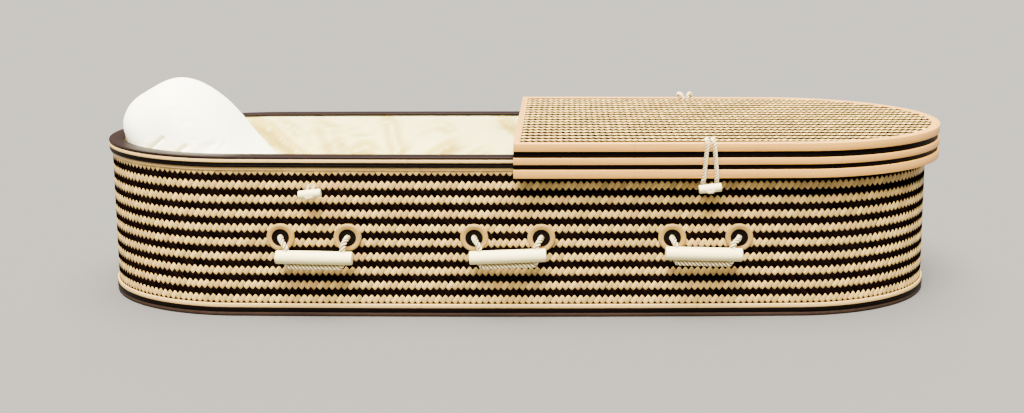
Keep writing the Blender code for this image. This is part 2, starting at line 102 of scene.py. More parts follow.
# Along a float: (share of its half length, height); across it: (share of half its width, height).
# The black floats are drawn in less tightly than the natural ones, so their rows are as high.
FLOAT_LENGTHWISE = {
    "natural": ((-0.94, -0.0013), (-0.80, -0.0002), (-0.5, 0.0), (0.5, 0.0), (0.80, -0.0002),
                (0.94, -0.0013)),
    "black": ((-1.32, -0.0013), (-1.05, -0.0004), (-0.56, 0.0), (0.56, 0.0), (1.05, -0.0004),
              (1.32, -0.0013)),
}
FLOAT_CROSSWISE = ((-0.99, -0.0003), (-0.93, 0.0), (0.93, 0.0), (0.99, -0.0003))
# On the lid the natural floats are this much shorter, so that more black shows
LID_FLOAT_SHARE = {"natural": 0.85, "black": 1.0}
# How far a float strays from its place and its height, and how alike the floats of a strip are
FLOAT_STRAY = 0.00018
FLOAT_LIFT_STRAY = 0.00006
STRIP_LIKENESS = 0.65

# Handles: distance along X, shift of the grip from there, its drop under the eyelets and its tilt
HANDLES = {
    "head": (-0.451, 0.0043, 0.0394, math.radians(-0.9)),
    "middle": (-0.018, 0.0009, 0.0355, math.radians(2.2)),
    "foot": (0.424, -0.0067, 0.0306, math.radians(-1.55)),
}
EYELET_HEIGHT = 0.1832
EYELET_SPACING = 0.150
# An eyelet from its hole outwards: (radius, out, material: 0 turned wood, 1 black recess, 2 dark reddish
# edge)
EYELET_PROFILE = ((0.0066, 0.0003, 1), (0.0066, 0.0028, 1), (0.0192, 0.0031, 1), (0.0193, 0.0050, 2),
                  (0.0195, 0.0058, 2), (0.0199, 0.0062, 0), (0.0240, 0.0060, 0), (0.0246, 0.0064, 0),
                  (0.0290, 0.0063, 0), (0.0303, 0.0056, 0), (0.0310, 0.0042, 0), (0.0310, 0.0003, 0),
                  (0.0066, 0.0003, 0))
TURNED_STEPS = 40
# How much fuller a dowel is in its middle than near its ends
DOWEL_SWELL = 0.0003
GRIP_EASE = 0.0022
TOGGLE_EASE = 0.0016
GRIP_LENGTH = 0.170
GRIP_RADIUS = 0.015
GRIP_STAND = 0.030
GRIP_HOLE_SPACING = 0.125
HANDLE_ROPE_DIAMETER = 0.012
ROPE_MOUTH_RISE = 0.003

# Toggles: distance along X, drop under their holes, stand from the wall
TOGGLES = {"head": (-0.4536, 0.0125, 0.024), "foot": (0.4278, -0.0032, 0.037)}
TOGGLE_HOLE_HEIGHT = 0.300
TOGGLE_LENGTH = 0.0495
TOGGLE_RADIUS = 0.0095
TOGGLE_TILT = math.radians(6.2)
TOGGLE_HOLE_SLOPE = math.radians(30)
TOGGLE_CORD_SPACING = 0.013
TOGGLE_CORD_DIAMETER = 0.0065
LOOP_DIAMETER = 0.0094

# Rope routes, from the hidden end inwards. A handle rope's first points are (share of the way
# from the grip's hole to the eyelet along the wall, out from the wall, share of the way up), its
# others are (inwards from the grip's hole, up from the grip's centre).
HANDLE_ROPE_AT_EYELET = ((1.0, -0.0150, 1.0), (1.0, 0.0055, 1.0), (0.825, 0.0160, 0.93),
                         (0.4375, 0.0250, 0.66), (0.1125, 0.0293, 0.30))
HANDLE_ROPE_AT_GRIP = ((0.0, 0.0180), (0.0, -0.0155), (0.0012, -0.0195), (0.0050, -0.0215),
                       (0.0100, -0.0219))
# A toggle cord's first points are (out from the wall, up from its hole), its others are (inwards
# from the toggle's hole, along that hole from the toggle's centre).
TOGGLE_CORD_AT_WALL = ((-0.0150, 0.0), (0.0050, 0.0))
TOGGLE_CORD_AT_TOGGLE = ((0.0, -0.0125), (0.0, 0.0105), (0.0015, 0.0126), (0.0065, 0.0134))
# A lid loop's first points are (along, out from the wall, up from the lid's top), its others are
# up from the foot toggle. The back loop is slack and spreads over the lid's edge.
LOOP_AT_LID = {
    "front": ((0.00625, 0.0055, -0.0283), (0.00625, 0.0055, 0.0022), (0.0065, 0.0115, 0.0066),
              (0.0070, 0.0245, 0.0066), (0.0075, 0.0332, 0.0057), (0.0078, 0.0375, 0.0012),
              (0.0085, 0.0386, -0.0093), (0.0130, 0.0386, -0.0603), (0.0140, 0.0372, -0.0783)),
    "back": ((0.00625, 0.0055, -0.0283), (0.00625, 0.0055, 0.0022), (0.0080, 0.0110, 0.0088),
             (0.0130, 0.0225, 0.0112), (0.0165, 0.0335, 0.0088), (0.0172, 0.0385, 0.0012),
             (0.0170, 0.0392, -0.0093), (0.0160, 0.0386, -0.0603), (0.0150, 0.0372, -0.0783)),
}
LOOP_AT_TOGGLE = ((0.0148, 0.0312, 0.0152), (0.0154, 0.0205, 0.0081), (0.0154, 0.0172, 0.0010),
                  (0.0145, 0.0168, -0.0050), (0.0095, 0.0165, -0.0080), (0.0, 0.0165, -0.0085))
ROUTE_STEP = 0.0012
# A rope's lay, and where its strands lie and how thick they are, in diameters of the rope
ROPE_LAY = 2.1
STRAND_OUT = 0.28
STRAND_RADIUS = 0.23
STRAND_SIDES = 8

# Pillow: the form of its cage, and where it stands
PILLOW_LENGTH = 0.560
PILLOW_WIDTH = 0.386
PILLOW_THICKNESS = 0.338
PILLOW_SLOPE = math.radians(53.7)
PILLOW_CENTRE = (-0.7330, 0.0, 0.2560)
PILLOW_RIM_SHARES = (1.0, 0.68, 0.40)
PILLOW_CORNER_INSET = 0.88
PILLOW_VOXEL = 0.007
PILLOW_MOST_PUFF = 0.012
# Where the cushion leans over the cap and where it falls away: (centre, reach, move)
PILLOW_LEANS = (((-0.935, -0.07, 0.403), (0.06, 0.13, 0.045), (-0.008, -0.004, 0.0)),
                ((-0.925, 0.0, 0.447), (0.05, 0.12, 0.040), (-0.005, 0.0, 0.003)),
                ((-0.640, 0.0, 0.365), (0.09, 0.16, 0.065), (-0.014, 0.0, -0.008)))
# Pinched creases in its front, from (x, height) to (x, height)
PILLOW_CREASES = (((-0.851, 0.357), (-0.820, 0.383)), ((-0.783, 0.350), (-0.767, 0.364)))
PILLOW_CREASE_WIDTH = 0.0045
PILLOW_CREASE_DEPTH = 0.008

# Lining: its heights, the radius that it turns onto the floor with, and its mesh
LINING_TOP = WALL[1] - 0.0004
LINING_FLOOR = WALL[0] + 0.0026
LINING_TURN = 0.020
LINING_CLOTH = 0.0012
LINING_ROWS = 40
LINING_STEP = 0.008
# It folds at a slant from the cap, once beside the pillow (x, slant), and crumples. Its folds grow
# over the height LINING_HELD, are shallow behind the pillow, and get painted shade, darker and
# yellower, where they are steep.
LINING_FOLD_SPACING = 0.24
LINING_FOLD_BY_PILLOW = (-0.715, -1.2)
LINING_CRUMPLES = 420
LINING_HELD = 0.03
LINING_PILLOW_END = -0.86
LINING_PILLOW_FADE = 0.12
LINING_PILLOW_SHARE = 0.25
LINING_STEEP = 0.25
# Which way is inwards: X counts for less, since the plan is long
LINING_INWARD = (0.35, 1.0)

# Camera, fitted to the casket's outline
CAMERA_PLACE = (0.1124, -3.1822, 0.9546)
CAMERA_PITCH = math.radians(81.0)
CAMERA_LENS = 46.704
CAMERA_SHIFT = (-0.05295, -0.10569)

# Studio: sun lights (name, turn in degrees, strength, spread in degrees), their colour and the floor's
LIGHTS = (("key", (28, 0, -12), 17.5, 36), ("overhead", (4, 0, 0), 20.0, 60),
          ("fill", (-60, 0, 0), 4.0, 60))
LIGHT_COLOUR = (1.0, 0.955, 0.87)
WORLD_COLOUR = (1.0, 0.98, 0.94)
WORLD_STRENGTH = 0.35
FLOOR_COLOUR = "555452"

# Tones of the strips, and of the dark reddish edge of an eyelet's recess
NATURAL_TONES = ("A98749", "C29D54", "B09450", "D0A95B", "DFBB68", "C09456", "D2AE60")
BLACK_TONES = ("090403", "0F0806", "070302", "140A07")
RECESS_EDGE_COLOUR = "4A2418"

SIDES = (("front", -1), ("back", 1))


def linear(hex_colour):
    """Linear colour of an sRGB hex value."""
    channels = [int(hex_colour[i:i + 2], 16) / 255 for i in (0, 2, 4)]
    return [c / 12.92 if c <= 0.04045 else ((c + 0.055) / 1.055) ** 2.4 for c in channels]


def length_property(name, description, default):
    return bpy.props.FloatProperty(name=name, description=description, default=default, unit="LENGTH",
                                   min=0.0, precision=5)


def colour_property(name, description, default):
    return bpy.props.FloatVectorProperty(name=name, description=description, default=linear(default),
                                         subtype="COLOR", min=0.0, max=1.0)


class CasketSizes(bpy.types.PropertyGroup):
    """Sizes that give the casket its texture."""

    strip_spacing: length_property("Strip spacing", "Distance between neighbouring strips along a row",
                                   0.01385)
    wall_row: length_property("Wall row", "Height of one natural and one black row on the wall", 0.03276)
    lid_row: length_property("Lid row", "Width of one natural and one black row on the lid", 0.0351)
    edge: length_property("Batten edge", "Radius of the eased edges of the battens", 0.0008)
    fold: length_property("Lining fold", "Depth of the deepest folds in the lining", 0.010)
    pillow_pressure: bpy.props.FloatProperty(
        name="Pillow pressure", description="How tightly the pillow fills", default=4.0, min=0.0, max=10.0)


class CasketColours(bpy.types.PropertyGroup):
    """Base colours of the materials."""

    batten: colour_property("Battens", "Natural battens of the body", "D0A962")
    lid_batten: colour_property("Lid battens", "Natural battens around the lid", "C68F3E")
    black: colour_property("Black bamboo", "Stained strips and battens", "080403")
    cap: colour_property("Rim cap", "Flat ring on top of the wall", "1A110F")
    board: colour_property("Base board", "Board under the casket", "2C2019")
    dowel: colour_property("Dowels", "Grips and toggles", "FAEDAC")
    washer: colour_property("Eyelets", "Turned washers", "9E7D3C")
    rope: colour_property("Rope", "Cotton ropes and cords", "F8E8B4")
    lining: colour_property("Lining", "Cloth inside", "FFF9BE")
    pillow: colour_property("Pillow", "Pillow cover", "FFFCE2")


def side_y(x, offset):
    """Half width of the plan at x on the bowed sides."""
    return HALF_WIDTH + offset - SIDE_BOW * (x / SIDE_HALF_LENGTH) ** 2


def end_points(offset):
    """Half-elliptical foot end, from the front side to the back."""
    angles = np.linspace(-math.pi / 2, math.pi / 2, END_STEPS + 1)
    return [(SIDE_HALF_LENGTH + (END_LENGTH + offset) * math.cos(angle),
             (HALF_WIDTH - SIDE_BOW + offset) * math.sin(angle)) for angle in angles]


def full_outline(offset):
    """The whole plan, at a distance out from the wall's outer face."""
    foot = end_points(offset)
    back = [(x, side_y(x, offset)) for x in np.linspace(SIDE_HALF_LENGTH, -SIDE_HALF_LENGTH, SIDE_STEPS + 1)]
    back = back[1:-1]
    return foot + back + [(-x, -y) for x, y in foot + back]


def lid_outline(offset, start):
    """The plan of the foot half, from its front corner around to its back corner."""
    side = [(x, side_y(x, offset)) for x in np.linspace(start, SIDE_HALF_LENGTH, SIDE_STEPS // 2 + 1)][:-1]
    return [(x, -y) for x, y in side] + end_points(offset) + side[::-1]


def eased_profile(inner, outer, low, high, edge):
    """Rounded rectangle of (distance out, height), from its outer low corner around."""
    corners = ((outer - edge, low + edge, -90), (outer - edge, high - edge, 0),
               (inner + edge, high - edge, 90), (inner + edge, low + edge, 180))
    points = []
    for out, height, first in corners:
        for turn in (0, 45, 90):
            angle = math.radians(first + turn)
            points.append((out + edge * math.cos(angle), height + edge * math.sin(angle)))
    return points


def lengths_along(points):
    """The length from the first point to each point."""
    return np.concatenate(([0], np.cumsum(np.linalg.norm(np.diff(points, axis=0), axis=1))))


def new_mesh(name, points, faces, uvs, outward=True):
    """A mesh with a UV map in metres, from flat arrays. outward turns its faces out of a closed form."""
    mesh = bpy.data.meshes.new(name)
    mesh.from_pydata(points, [], faces)
    layer = mesh.uv_layers.new(name="metres")
    layer.uv.foreach_set("vector", np.array(uvs, dtype=np.float32).ravel())
    if outward:
        bm = bmesh.new()
        bm.from_mesh(mesh)
        bmesh.ops.recalc_face_normals(bm, faces=bm.faces)
        bm.to_mesh(mesh)
        bm.free()
    mesh.shade_smooth()
    mesh.set_sharp_from_angle(angle=math.radians(50))
    return mesh


def skin(name, loops, closed):
    """Skin over the loops of a closed profile: loops[k][i] is path point i at profile corner k."""
    loops = np.array(loops)
    corners, steps = loops.shape[:2]
    along = lengths_along(np.vstack((loops[0], loops[0][:1])))
    across = lengths_along(np.vstack((loops[:, 0], loops[:1, 0])))
    faces, uvs = [], []
    for k in range(corners):
        below, above = k * steps, (k + 1) % corners * steps
        for i in range(steps if closed else steps - 1):
            j = (i + 1) % steps
            faces.append((below + i, below + j, above + j, above + i))
            uvs += [(along[i], across[k]), (along[i + 1], across[k]),
                    (along[i + 1], across[k + 1]), (along[i], across[k + 1])]
    if not closed:
        for i in (0, steps - 1):
            faces.append([k * steps + i for k in range(corners)])
            uvs += [(along[i], across[k]) for k in range(corners)]
    return new_mesh(name, loops.reshape(-1, 3).tolist(), faces, uvs)


def hoop(name, faces_out, heights, edge):
    """A batten bent around the whole plan."""
    profile = eased_profile(*faces_out, *heights, edge)
    return skin(name, [[(x, y, z) for x, y in full_outline(out)] for out, z in profile], True)


def half_hoop(name, faces_out, heights, edge):
    """A batten bent around the foot half, open at the lid's straight end."""
    profile = eased_profile(*faces_out, *heights, edge)
    return skin(name, [[(x, y, z) for x, y in lid_outline(out, LID_START)] for out, z in profile], False)


def lid_ring(name, faces_out, end_width, heights, edge):
    """A ring around the foot half with a straight bar at the lid's end."""
    inner, outer = faces_out
    loops = []
    for out, z in eased_profile(inner, outer, *heights, edge):
        start = LID_START + end_width * (outer - out) / (outer - inner)
        loops.append([(x, y, z) for x, y in lid_outline(out, start)])
    return skin(name, loops, True)


def plate(name, outline, low, high):
    """A flat plate with eased edges; outline gives its points at a distance out."""
    edge = 0.001
    loops = [[(x, y, z) for x, y in outline(out)]
             for out, z in ((-edge, low), (0, low + edge), (0, high - edge), (-edge, high))]
    steps = len(loops[0])
    faces = [tuple(range(steps)), tuple(range(3 * steps, 4 * steps))]
    for k in range(3):
        for i in range(steps):
            j = (i + 1) % steps
            faces.append((k * steps + i, k * steps + j, (k + 1) * steps + j, (k + 1) * steps + i))
    points = [point for loop in loops for point in loop]
    return new_mesh(name, points, faces, [points[corner][:2] for face in faces for corner in face])


def turned(name, profile, steps):
    """A turned form about local Y: the profile is (radius, out, material of the stretch after it)."""
    bm = bmesh.new()
    rings = []
    for radius, out, _ in profile:
        angles = [2 * math.pi * step / steps for step in range(steps)]
        rings.append([bm.verts.new((radius * math.cos(a), out, radius * math.sin(a))) for a in angles])
    layer = bm.loops.layers.uv.new("metres")
    for ring, following, (_, _, slot) in zip(rings, rings[1:], profile):
        for i in range(steps):
            j = (i + 1) % steps
            face = bm.faces.new((ring[i], ring[j], following[j], following[i]))
            face.material_index = slot
    for ring in (rings[0], rings[-1]):
        bm.faces.new(ring)
    bmesh.ops.remove_doubles(bm, verts=bm.verts, dist=1e-6)
    bmesh.ops.recalc_face_normals(bm, faces=bm.faces)
    for face in bm.faces:
        for corner in face.loops:
            place = corner.vert.co
            around = math.atan2(place.z, place.x) % (2 * math.pi) * max(r for r, _, _ in profile)
            corner[layer].uv = (place.y, around)
    mesh = bpy.data.meshes.new(name)
    bm.to_mesh(mesh)
    bm.free()
    mesh.shade_smooth()
    mesh.set_sharp_from_angle(angle=math.radians(50))
    return mesh


def show(name, mesh, materials, nodes, matrix=None):
    """A piece of the casket that stands for its CAD nodes."""
    piece = bpy.data.objects.new(name, mesh)
    bpy.context.scene.collection.objects.link(piece)
    for material in materials:
        mesh.materials.append(material)
    if matrix is not None:
        piece.matrix_world = matrix
    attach(piece, "root")
    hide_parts(*nodes)
    return piece


def wall_frame(x, height, side):
    """A frame on the wall: local Y points out of it, local Z up. side is -1 in front, 1 behind."""
    slope = -2 * SIDE_BOW * x / SIDE_HALF_LENGTH ** 2
    out = Vector((-slope, side, 0)).normalized()
    along = out.cross(Vector((0, 0, 1)))
    matrix = Matrix((along, out, (0, 0, 1))).transposed().to_4x4()
    matrix.translation = (x, side * side_y(x, 0), height)
    return matrix


def mirrored(points):
    """The other half of a symmetrical route, from its middle back to its end."""
    return [(-x, y, z) for x, y, z in points[::-1]]


def placed(matrix, points):
    return [matrix @ Vector(point) for point in points]


def smooth_route(points, rounding):
    """The route at even steps, with its corners rounded over about the given length."""
    points = np.array(points)
    along = lengths_along(points)
    stations = np.linspace(0, along[-1], int(along[-1] / ROUTE_STEP) + 1)
    route = np.stack([np.interp(stations, along, points[:, axis]) for axis in range(3)], axis=1)
    reach = int(rounding / ROUTE_STEP)
    kernel = np.hanning(2 * reach + 3)[1:-1]
    kernel /= kernel.sum()
    first = 2 * route[0] - route[reach:0:-1]
    last = 2 * route[-1] - route[-2:-reach - 2:-1]
    padded = np.vstack((first, route, last))
    return np.stack([np.convolve(padded[:, axis], kernel, "valid") for axis in range(3)], axis=1)


def carried_frames(route):
    """Two unit vectors square to the route at each point, carried along it without twist."""
    tangents = np.gradient(route, axis=0)
    tangents /= np.linalg.norm(tangents, axis=1)[:, None]
    normal = np.cross(tangents[0], (1.0, 0.0, 0.0))
    normals = []
    for tangent in tangents:
        normal = normal - tangent * normal.dot(tangent)
        normal = normal / np.linalg.norm(normal)
        normals.append(normal)
    normals = np.array(normals)
    return normals, np.cross(tangents, normals)


def rope_mesh(name, route, diameter):
    """Three strands laid around the route. depth is 0 on a strand's outside and 1 in the rope; the rope's
    material paints shade into the grooves by it.
    """
    lay = ROPE_LAY * diameter
    strand_out, strand_radius = STRAND_OUT * diameter, STRAND_RADIUS * diameter
    normals, binormals = carried_frames(route)
    steps = len(route)
    distance = np.arange(steps) * ROUTE_STEP
    points, faces, uvs, depths = [], [], [], []
    for strand in range(3):
        turn = 2 * math.pi * (distance / lay + strand / 3)
        centre = route + strand_out * (np.cos(turn)[:, None] * normals + np.sin(turn)[:, None] * binormals)
        base = len(points)
        for side in range(STRAND_SIDES):
            angle = turn + 2 * math.pi * side / STRAND_SIDES
            ring = np.cos(angle)[:, None] * normals + np.sin(angle)[:, None] * binormals
            points += (centre + strand_radius * ring).tolist()
            depths += [(1 - math.cos(2 * math.pi * side / STRAND_SIDES)) / 2] * steps
        for side in range(STRAND_SIDES):
            here, following = base + side * steps, base + (side + 1) % STRAND_SIDES * steps
            around = 2 * math.pi * strand_radius / STRAND_SIDES
            for i in range(steps - 1):
                faces.append((here + i, here + i + 1, following + i + 1, following + i))
                uvs += [(distance[i], side * around), (distance[i + 1], side * around),
                        (distance[i + 1], (side + 1) * around), (distance[i], (side + 1) * around)]
        for i in (0, steps - 1):
            faces.append([base + side * steps + i for side in range(STRAND_SIDES)])
            uvs += [(distance[i], 0)] * STRAND_SIDES
    mesh = new_mesh(name, points, faces, uvs)
    mesh.attributes.new("depth", "FLOAT", "POINT").data.foreach_set("value", depths)
    return mesh


def add_rope(name, node, route, diameter):
    """A twisted rope on its route."""
    piece = show(name, rope_mesh(name, route, diameter), [finish_of("laid cotton rope")], [node])


def grip_hang(place, side):
    """The frame on the wall between a handle's eyelets, and the frame at its grip's centre."""
    x, shift, drop, tilt = HANDLES[place]
    at_wall = wall_frame(x, EYELET_HEIGHT, side)
    hang = at_wall @ Matrix.Translation((side * shift, GRIP_STAND, -drop))
    return at_wall, hang @ Matrix.Rotation(-side * tilt, 4, "Y")


def handle_route(place, side):
    """A handle rope's points: eyelet, grip, along under it, and up to the other eyelet."""
    at_wall, hang = grip_hang(place, side)
    shift, drop = HANDLES[place][1:3]
    rise = drop - GRIP_RADIUS - ROPE_MOUTH_RISE
    upper = []
    for sign in (1, -1):
        eyelet = sign * EYELET_SPACING / 2
        hole = sign * GRIP_HOLE_SPACING / 2 + side * shift
        points = [(hole + near * (eyelet - hole), out, (share - 1) * rise)
                  for near, out, share in HANDLE_ROPE_AT_EYELET]
        upper.append(placed(at_wall, points))
    lower = [(GRIP_HOLE_SPACING / 2 - inward, 0, up) for inward, up in HANDLE_ROPE_AT_GRIP]
    return upper[0] + placed(hang, lower + mirrored(lower)) + upper[1][::-1]


def toggle_hang(place, side):
    """The frame on the wall between a toggle's holes, and the frame at the toggle's centre."""
    x, drop, stand = TOGGLES[place]
    at_wall = wall_frame(x, TOGGLE_HOLE_HEIGHT, side)
    hang = at_wall @ Matrix.Translation((0, stand, -drop))
    return at_wall, hang @ Matrix.Rotation(-side * TOGGLE_TILT, 4, "Y")


def toggle_route(place, side):
    """A toggle cord's points: wall, through the toggle, across its front, and back to the wall."""
    at_wall, hang = toggle_hang(place, side)
    half = TOGGLE_CORD_SPACING / 2
    upper = [(half, out, up) for out, up in TOGGLE_CORD_AT_WALL]
    lower = [(half - inward, reach * math.cos(TOGGLE_HOLE_SLOPE), -reach * math.sin(TOGGLE_HOLE_SLOPE))
             for inward, reach in TOGGLE_CORD_AT_TOGGLE]
    return (placed(at_wall, upper) + placed(hang, lower + mirrored(lower[:-1]))
            + placed(at_wall, mirrored(upper)))


def loop_route(side, side_name):
    """A lid loop's points: down from the lid's top, under the foot toggle and up again."""
    x, drop, _ = TOGGLES["foot"]
    half = [(along, out, LID_TOP + up) for along, out, up in LOOP_AT_LID[side_name]]
    half += [(along, out, TOGGLE_HOLE_HEIGHT - drop + up) for along, out, up in LOOP_AT_TOGGLE]
    return placed(wall_frame(x, 0, side), half + mirrored(half[:-1]))


def plan_table():
    """The wall's outer face, walked from the middle of the front side: length, x, y, normal."""
    corners = np.array(full_outline(0))
    start = int(np.argmin(np.abs(corners[:, 0]) + 1000 * (corners[:, 1] > 0)))
    corners = np.roll(corners, -start, axis=0)
    corners = np.vstack((corners, corners[:1]))
    steps = np.diff(corners, axis=0)
    length = lengths_along(corners)
    directions = np.vstack((steps[-1:], steps, steps[:1]))
    directions = directions[:-1] + directions[1:]
    directions /= np.linalg.norm(directions, axis=1)[:, None]
    return length, corners[:, 0], corners[:, 1], directions[:, 1], -directions[:, 0]


def on_wall(along, height, lift):
    """Points of the wall's face from the length along it, the height and the lift off it."""
    length, x, y, out_x, out_y = plan_table()
    along = along % length[-1]
    place = [np.interp(along, length, values) for values in (x, y, out_x, out_y)]
    height = np.clip(height, *WALL_WEAVE_LIMITS)
    return np.stack((place[0] + lift * place[2], place[1] + lift * place[3], height), axis=-1)


def on_lid(x, y, lift):
    """Points of the lid's top, kept inside its border."""
    out = LID_BORDER_FACES[0] + LID_WEAVE_TUCK
    x = np.clip(x, LID_START + LID_BORDER_END - LID_WEAVE_TUCK, SIDE_HALF_LENGTH + END_LENGTH + out - 0.001)
    beyond = np.clip((x - SIDE_HALF_LENGTH) / (END_LENGTH + out), 0, 1)
    reach = np.where(x < SIDE_HALF_LENGTH, side_y(x, out),
                     (HALF_WIDTH - SIDE_BOW + out) * np.sqrt(1 - beyond ** 2))
    return np.stack((x, np.clip(y, -reach, reach), LID_WEAVE_FACE + lift), axis=-1)


def strip_mesh(name, centres, strips, along, across, lengthwise, surface, seed):
    """The floats of one set of strips: each covers two crossings and dives under at both ends."""
    rng = np.random.default_rng(seed)
    crosswise = np.array(FLOAT_CROSSWISE)
    rows, columns = len(lengthwise), len(crosswise)
    share_along = np.repeat(lengthwise[:, 0], columns)
    share_across = np.tile(crosswise[:, 0], rows)
    lift = (lengthwise[:, 1][:, None] + crosswise[:, 1][None, :]).ravel()
    floats = len(centres)
    jitter = rng.normal(0, FLOAT_STRAY, (floats, 2))
    flat = (centres + jitter)[:, None, :] + (share_along[None, :, None] * along
                                             + share_across[None, :, None] * across)
    lift = lift[None, :] + rng.normal(0, FLOAT_LIFT_STRAY, floats)[:, None]
    points = surface(flat[..., 0], flat[..., 1], lift).reshape(-1, 3)
    cells = [(row * columns + column, row * columns + column + 1, (row + 1) * columns + column + 1,
              (row + 1) * columns + column) for row in range(rows - 1) for column in range(columns - 1)]
    cells = np.array(cells)
    if along[0] * across[1] - along[1] * across[0] > 0:
        cells = cells[:, ::-1]
    faces = (cells[None] + (np.arange(floats) * rows * columns)[:, None, None]).reshape(-1, 4)
    length, width = np.linalg.norm(along), np.linalg.norm(across)
    own = rng.uniform(0, 2, floats)
    u = share_along[None, :] * length + own[:, None]
    v = share_across[None, :] * width + own[:, None]
    uvs = np.stack((u, v), axis=-1).reshape(-1, 2)[faces.ravel()]
    mesh = new_mesh(name, points.tolist(), faces.tolist(), uvs, outward=False)
    of_strip = rng.uniform(0, 1, strips.max() + 1)[strips]
    tone = STRIP_LIKENESS * of_strip + (1 - STRIP_LIKENESS) * rng.uniform(0, 1, floats)
    attribute = mesh.attributes.new("tone", "FLOAT", "POINT")
    attribute.data.foreach_set("value", np.repeat(tone, rows * columns).astype(np.float32))
    return mesh


def weave_centres(columns, rows, spacing, level, natural):
    """Centres of the floats of one set, and the number of each one's strip."""
    column, row = np.meshgrid(np.arange(*columns), np.arange(*rows), indexing="ij")
    column, row = column.ravel(), row.ravel()
    if natural:
        return np.stack(((column + 0.25 + 2 * row) * spacing, (0.5 + 4 * row) * level), axis=1), column
    return np.stack(((column - 1.25 - 2 * row) * spacing, (2.5 + 4 * row) * level), axis=1), column


def add_node(tree, kind, settings=None, links=(), stops=()):
    """A shader node with its settings, links (node, output, input) and colour stops."""
    node = tree.nodes.new(kind)
    for name, value in (settings or {}).items():
        if isinstance(name, int) or not hasattr(node, name):
            node.inputs[name].default_value = value
        else:
            setattr(node, name, value)
    for source, output, target in links:
        tree.links.new(source.outputs[output], node.inputs[target])
    for number, (place, colour) in enumerate(stops):
        elements = node.color_ramp.elements
        element = elements[number] if number < len(elements) else elements.new(place)
        element.position = place
        element.color = (*colour, 1)
    return node


def new_finish(name, roughness, **sockets):
    """A Principled material with constants on its own sockets."""
    material = bpy.data.materials.new(name)
    material.use_nodes = True
    shader = material.node_tree.nodes["Principled BSDF"]
    shader.inputs["Roughness"].default_value = roughness
    for socket, value in sockets.items():
        shader.inputs[socket.replace("_", " ")].default_value = value
    return material, material.node_tree, shader


def shaded(colour, share):
    return [channel * share for channel in colour]


def fibres(tree, along_per_metre, across_per_metre, detail=4.0):
    """Noise drawn out along the fibres of a strip, in metres of its UV map."""
    coordinates = add_node(tree, "ShaderNodeUVMap", {"uv_map": "metres"})
    stretched = add_node(tree, "ShaderNodeMapping",
                         {"Scale": (along_per_metre, across_per_metre, 1.0)},
                         [(coordinates, "UV", "Vector")])
    return add_node(tree, "ShaderNodeTexNoise", {"Scale": 1.0, "Detail": detail, "Roughness": 0.6},
                    [(stretched, "Vector", "Vector")])


def relief(tree, shader, source, output, depth, strength):
    """Bump of the given depth in metres from a height output."""
    bump = add_node(tree, "ShaderNodeBump", {"Strength": strength, "Distance": depth},
                    [(source, output, "Height")])
    tree.links.new(bump.outputs["Normal"], shader.inputs["Normal"])


def multiplied(tree, shader, first, second):
    """Base colour of two colours multiplied."""
    mix = add_node(tree, "ShaderNodeMix", {"data_type": "RGBA", "blend_type": "MULTIPLY", "Factor": 1.0})
    tree.links.new(first.outputs["Color"], mix.inputs[6])
    tree.links.new(second.outputs["Color"], mix.inputs[7])
    tree.links.new(mix.outputs[2], shader.inputs["Base Color"])


def split_strip(name, tones, roughness, grain, gloss):
    # Split bamboo: a waxy skin that glints along the strip, with fibres about 0.4 mm apart.
    # They are drawn 0.9 mm apart, which is as fine as the picture can show.
    material, tree, shader = new_finish(name, roughness, Specular_IOR_Level=gloss)
    tone = add_node(tree, "ShaderNodeAttribute", {"attribute_name": "tone"})
    colour = add_node(tree, "ShaderNodeValToRGB", links=[(tone, "Fac", "Fac")],
                      stops=[(i / (len(tones) - 1), linear(t)) for i, t in enumerate(tones)])
    streaks = fibres(tree, 45.0, 1100.0)
    light = add_node(tree, "ShaderNodeValToRGB", links=[(streaks, "Fac", "Fac")],
                     stops=[(0.30, [grain] * 3), (0.70, [1.0] * 3)])
    multiplied(tree, shader, colour, light)
    relief(tree, shader, streaks, "Fac", 0.0002, 0.3)
    return material


def bent_batten(name, colour, roughness, contrast, node_spacing, node_depth, gloss):
    # Bamboo batten, split, planed and bent: long fibres about 1 mm apart and a darker ring at
    # each node of the culm, about 0.3 m apart.
    material, tree, shader = new_finish(name, roughness, Specular_IOR_Level=gloss)
    streaks = fibres(tree, 5.0, 420.0)
    grain = add_node(tree, "ShaderNodeValToRGB", links=[(streaks, "Fac", "Fac")],
                     stops=[(0.28, shaded(colour, 1 - contrast)), (0.72, shaded(colour, 1 + 0.3 * contrast))])
    coordinates = add_node(tree, "ShaderNodeUVMap", {"uv_map": "metres"})
    rings = add_node(tree, "ShaderNodeTexWave",
                     {"wave_profile": "SAW", "Scale": math.pi / (10 * node_spacing), "Distortion": 0.03,
                      "Detail": 1.0}, [(coordinates, "UV", "Vector")])
    dark = add_node(tree, "ShaderNodeValToRGB", links=[(rings, "Fac", "Fac")],
                    stops=[(0.0, [1.0] * 3), (0.972, [1.0] * 3), (0.986, [1 - node_depth] * 3),
                           (1.0, [1.0] * 3)])
    multiplied(tree, shader, grain, dark)
    relief(tree, shader, streaks, "Fac", 0.0002, 0.25)
    return material


def stained_wood(name, colour, roughness):
    # Stained softwood board, sawn and sanded: a satin coat over grain lines 2 to 3 mm apart.
    material, tree, shader = new_finish(name, roughness, Specular_IOR_Level=0.05)
    streaks = fibres(tree, 6.0, 380.0)
    grain = add_node(tree, "ShaderNodeValToRGB", links=[(streaks, "Fac", "Fac")],
                     stops=[(0.30, shaded(colour, 0.72)), (0.70, shaded(colour, 1.18))])
    tree.links.new(grain.outputs["Color"], shader.inputs["Base Color"])
    relief(tree, shader, streaks, "Fac", 0.0003, 0.2)
    return material


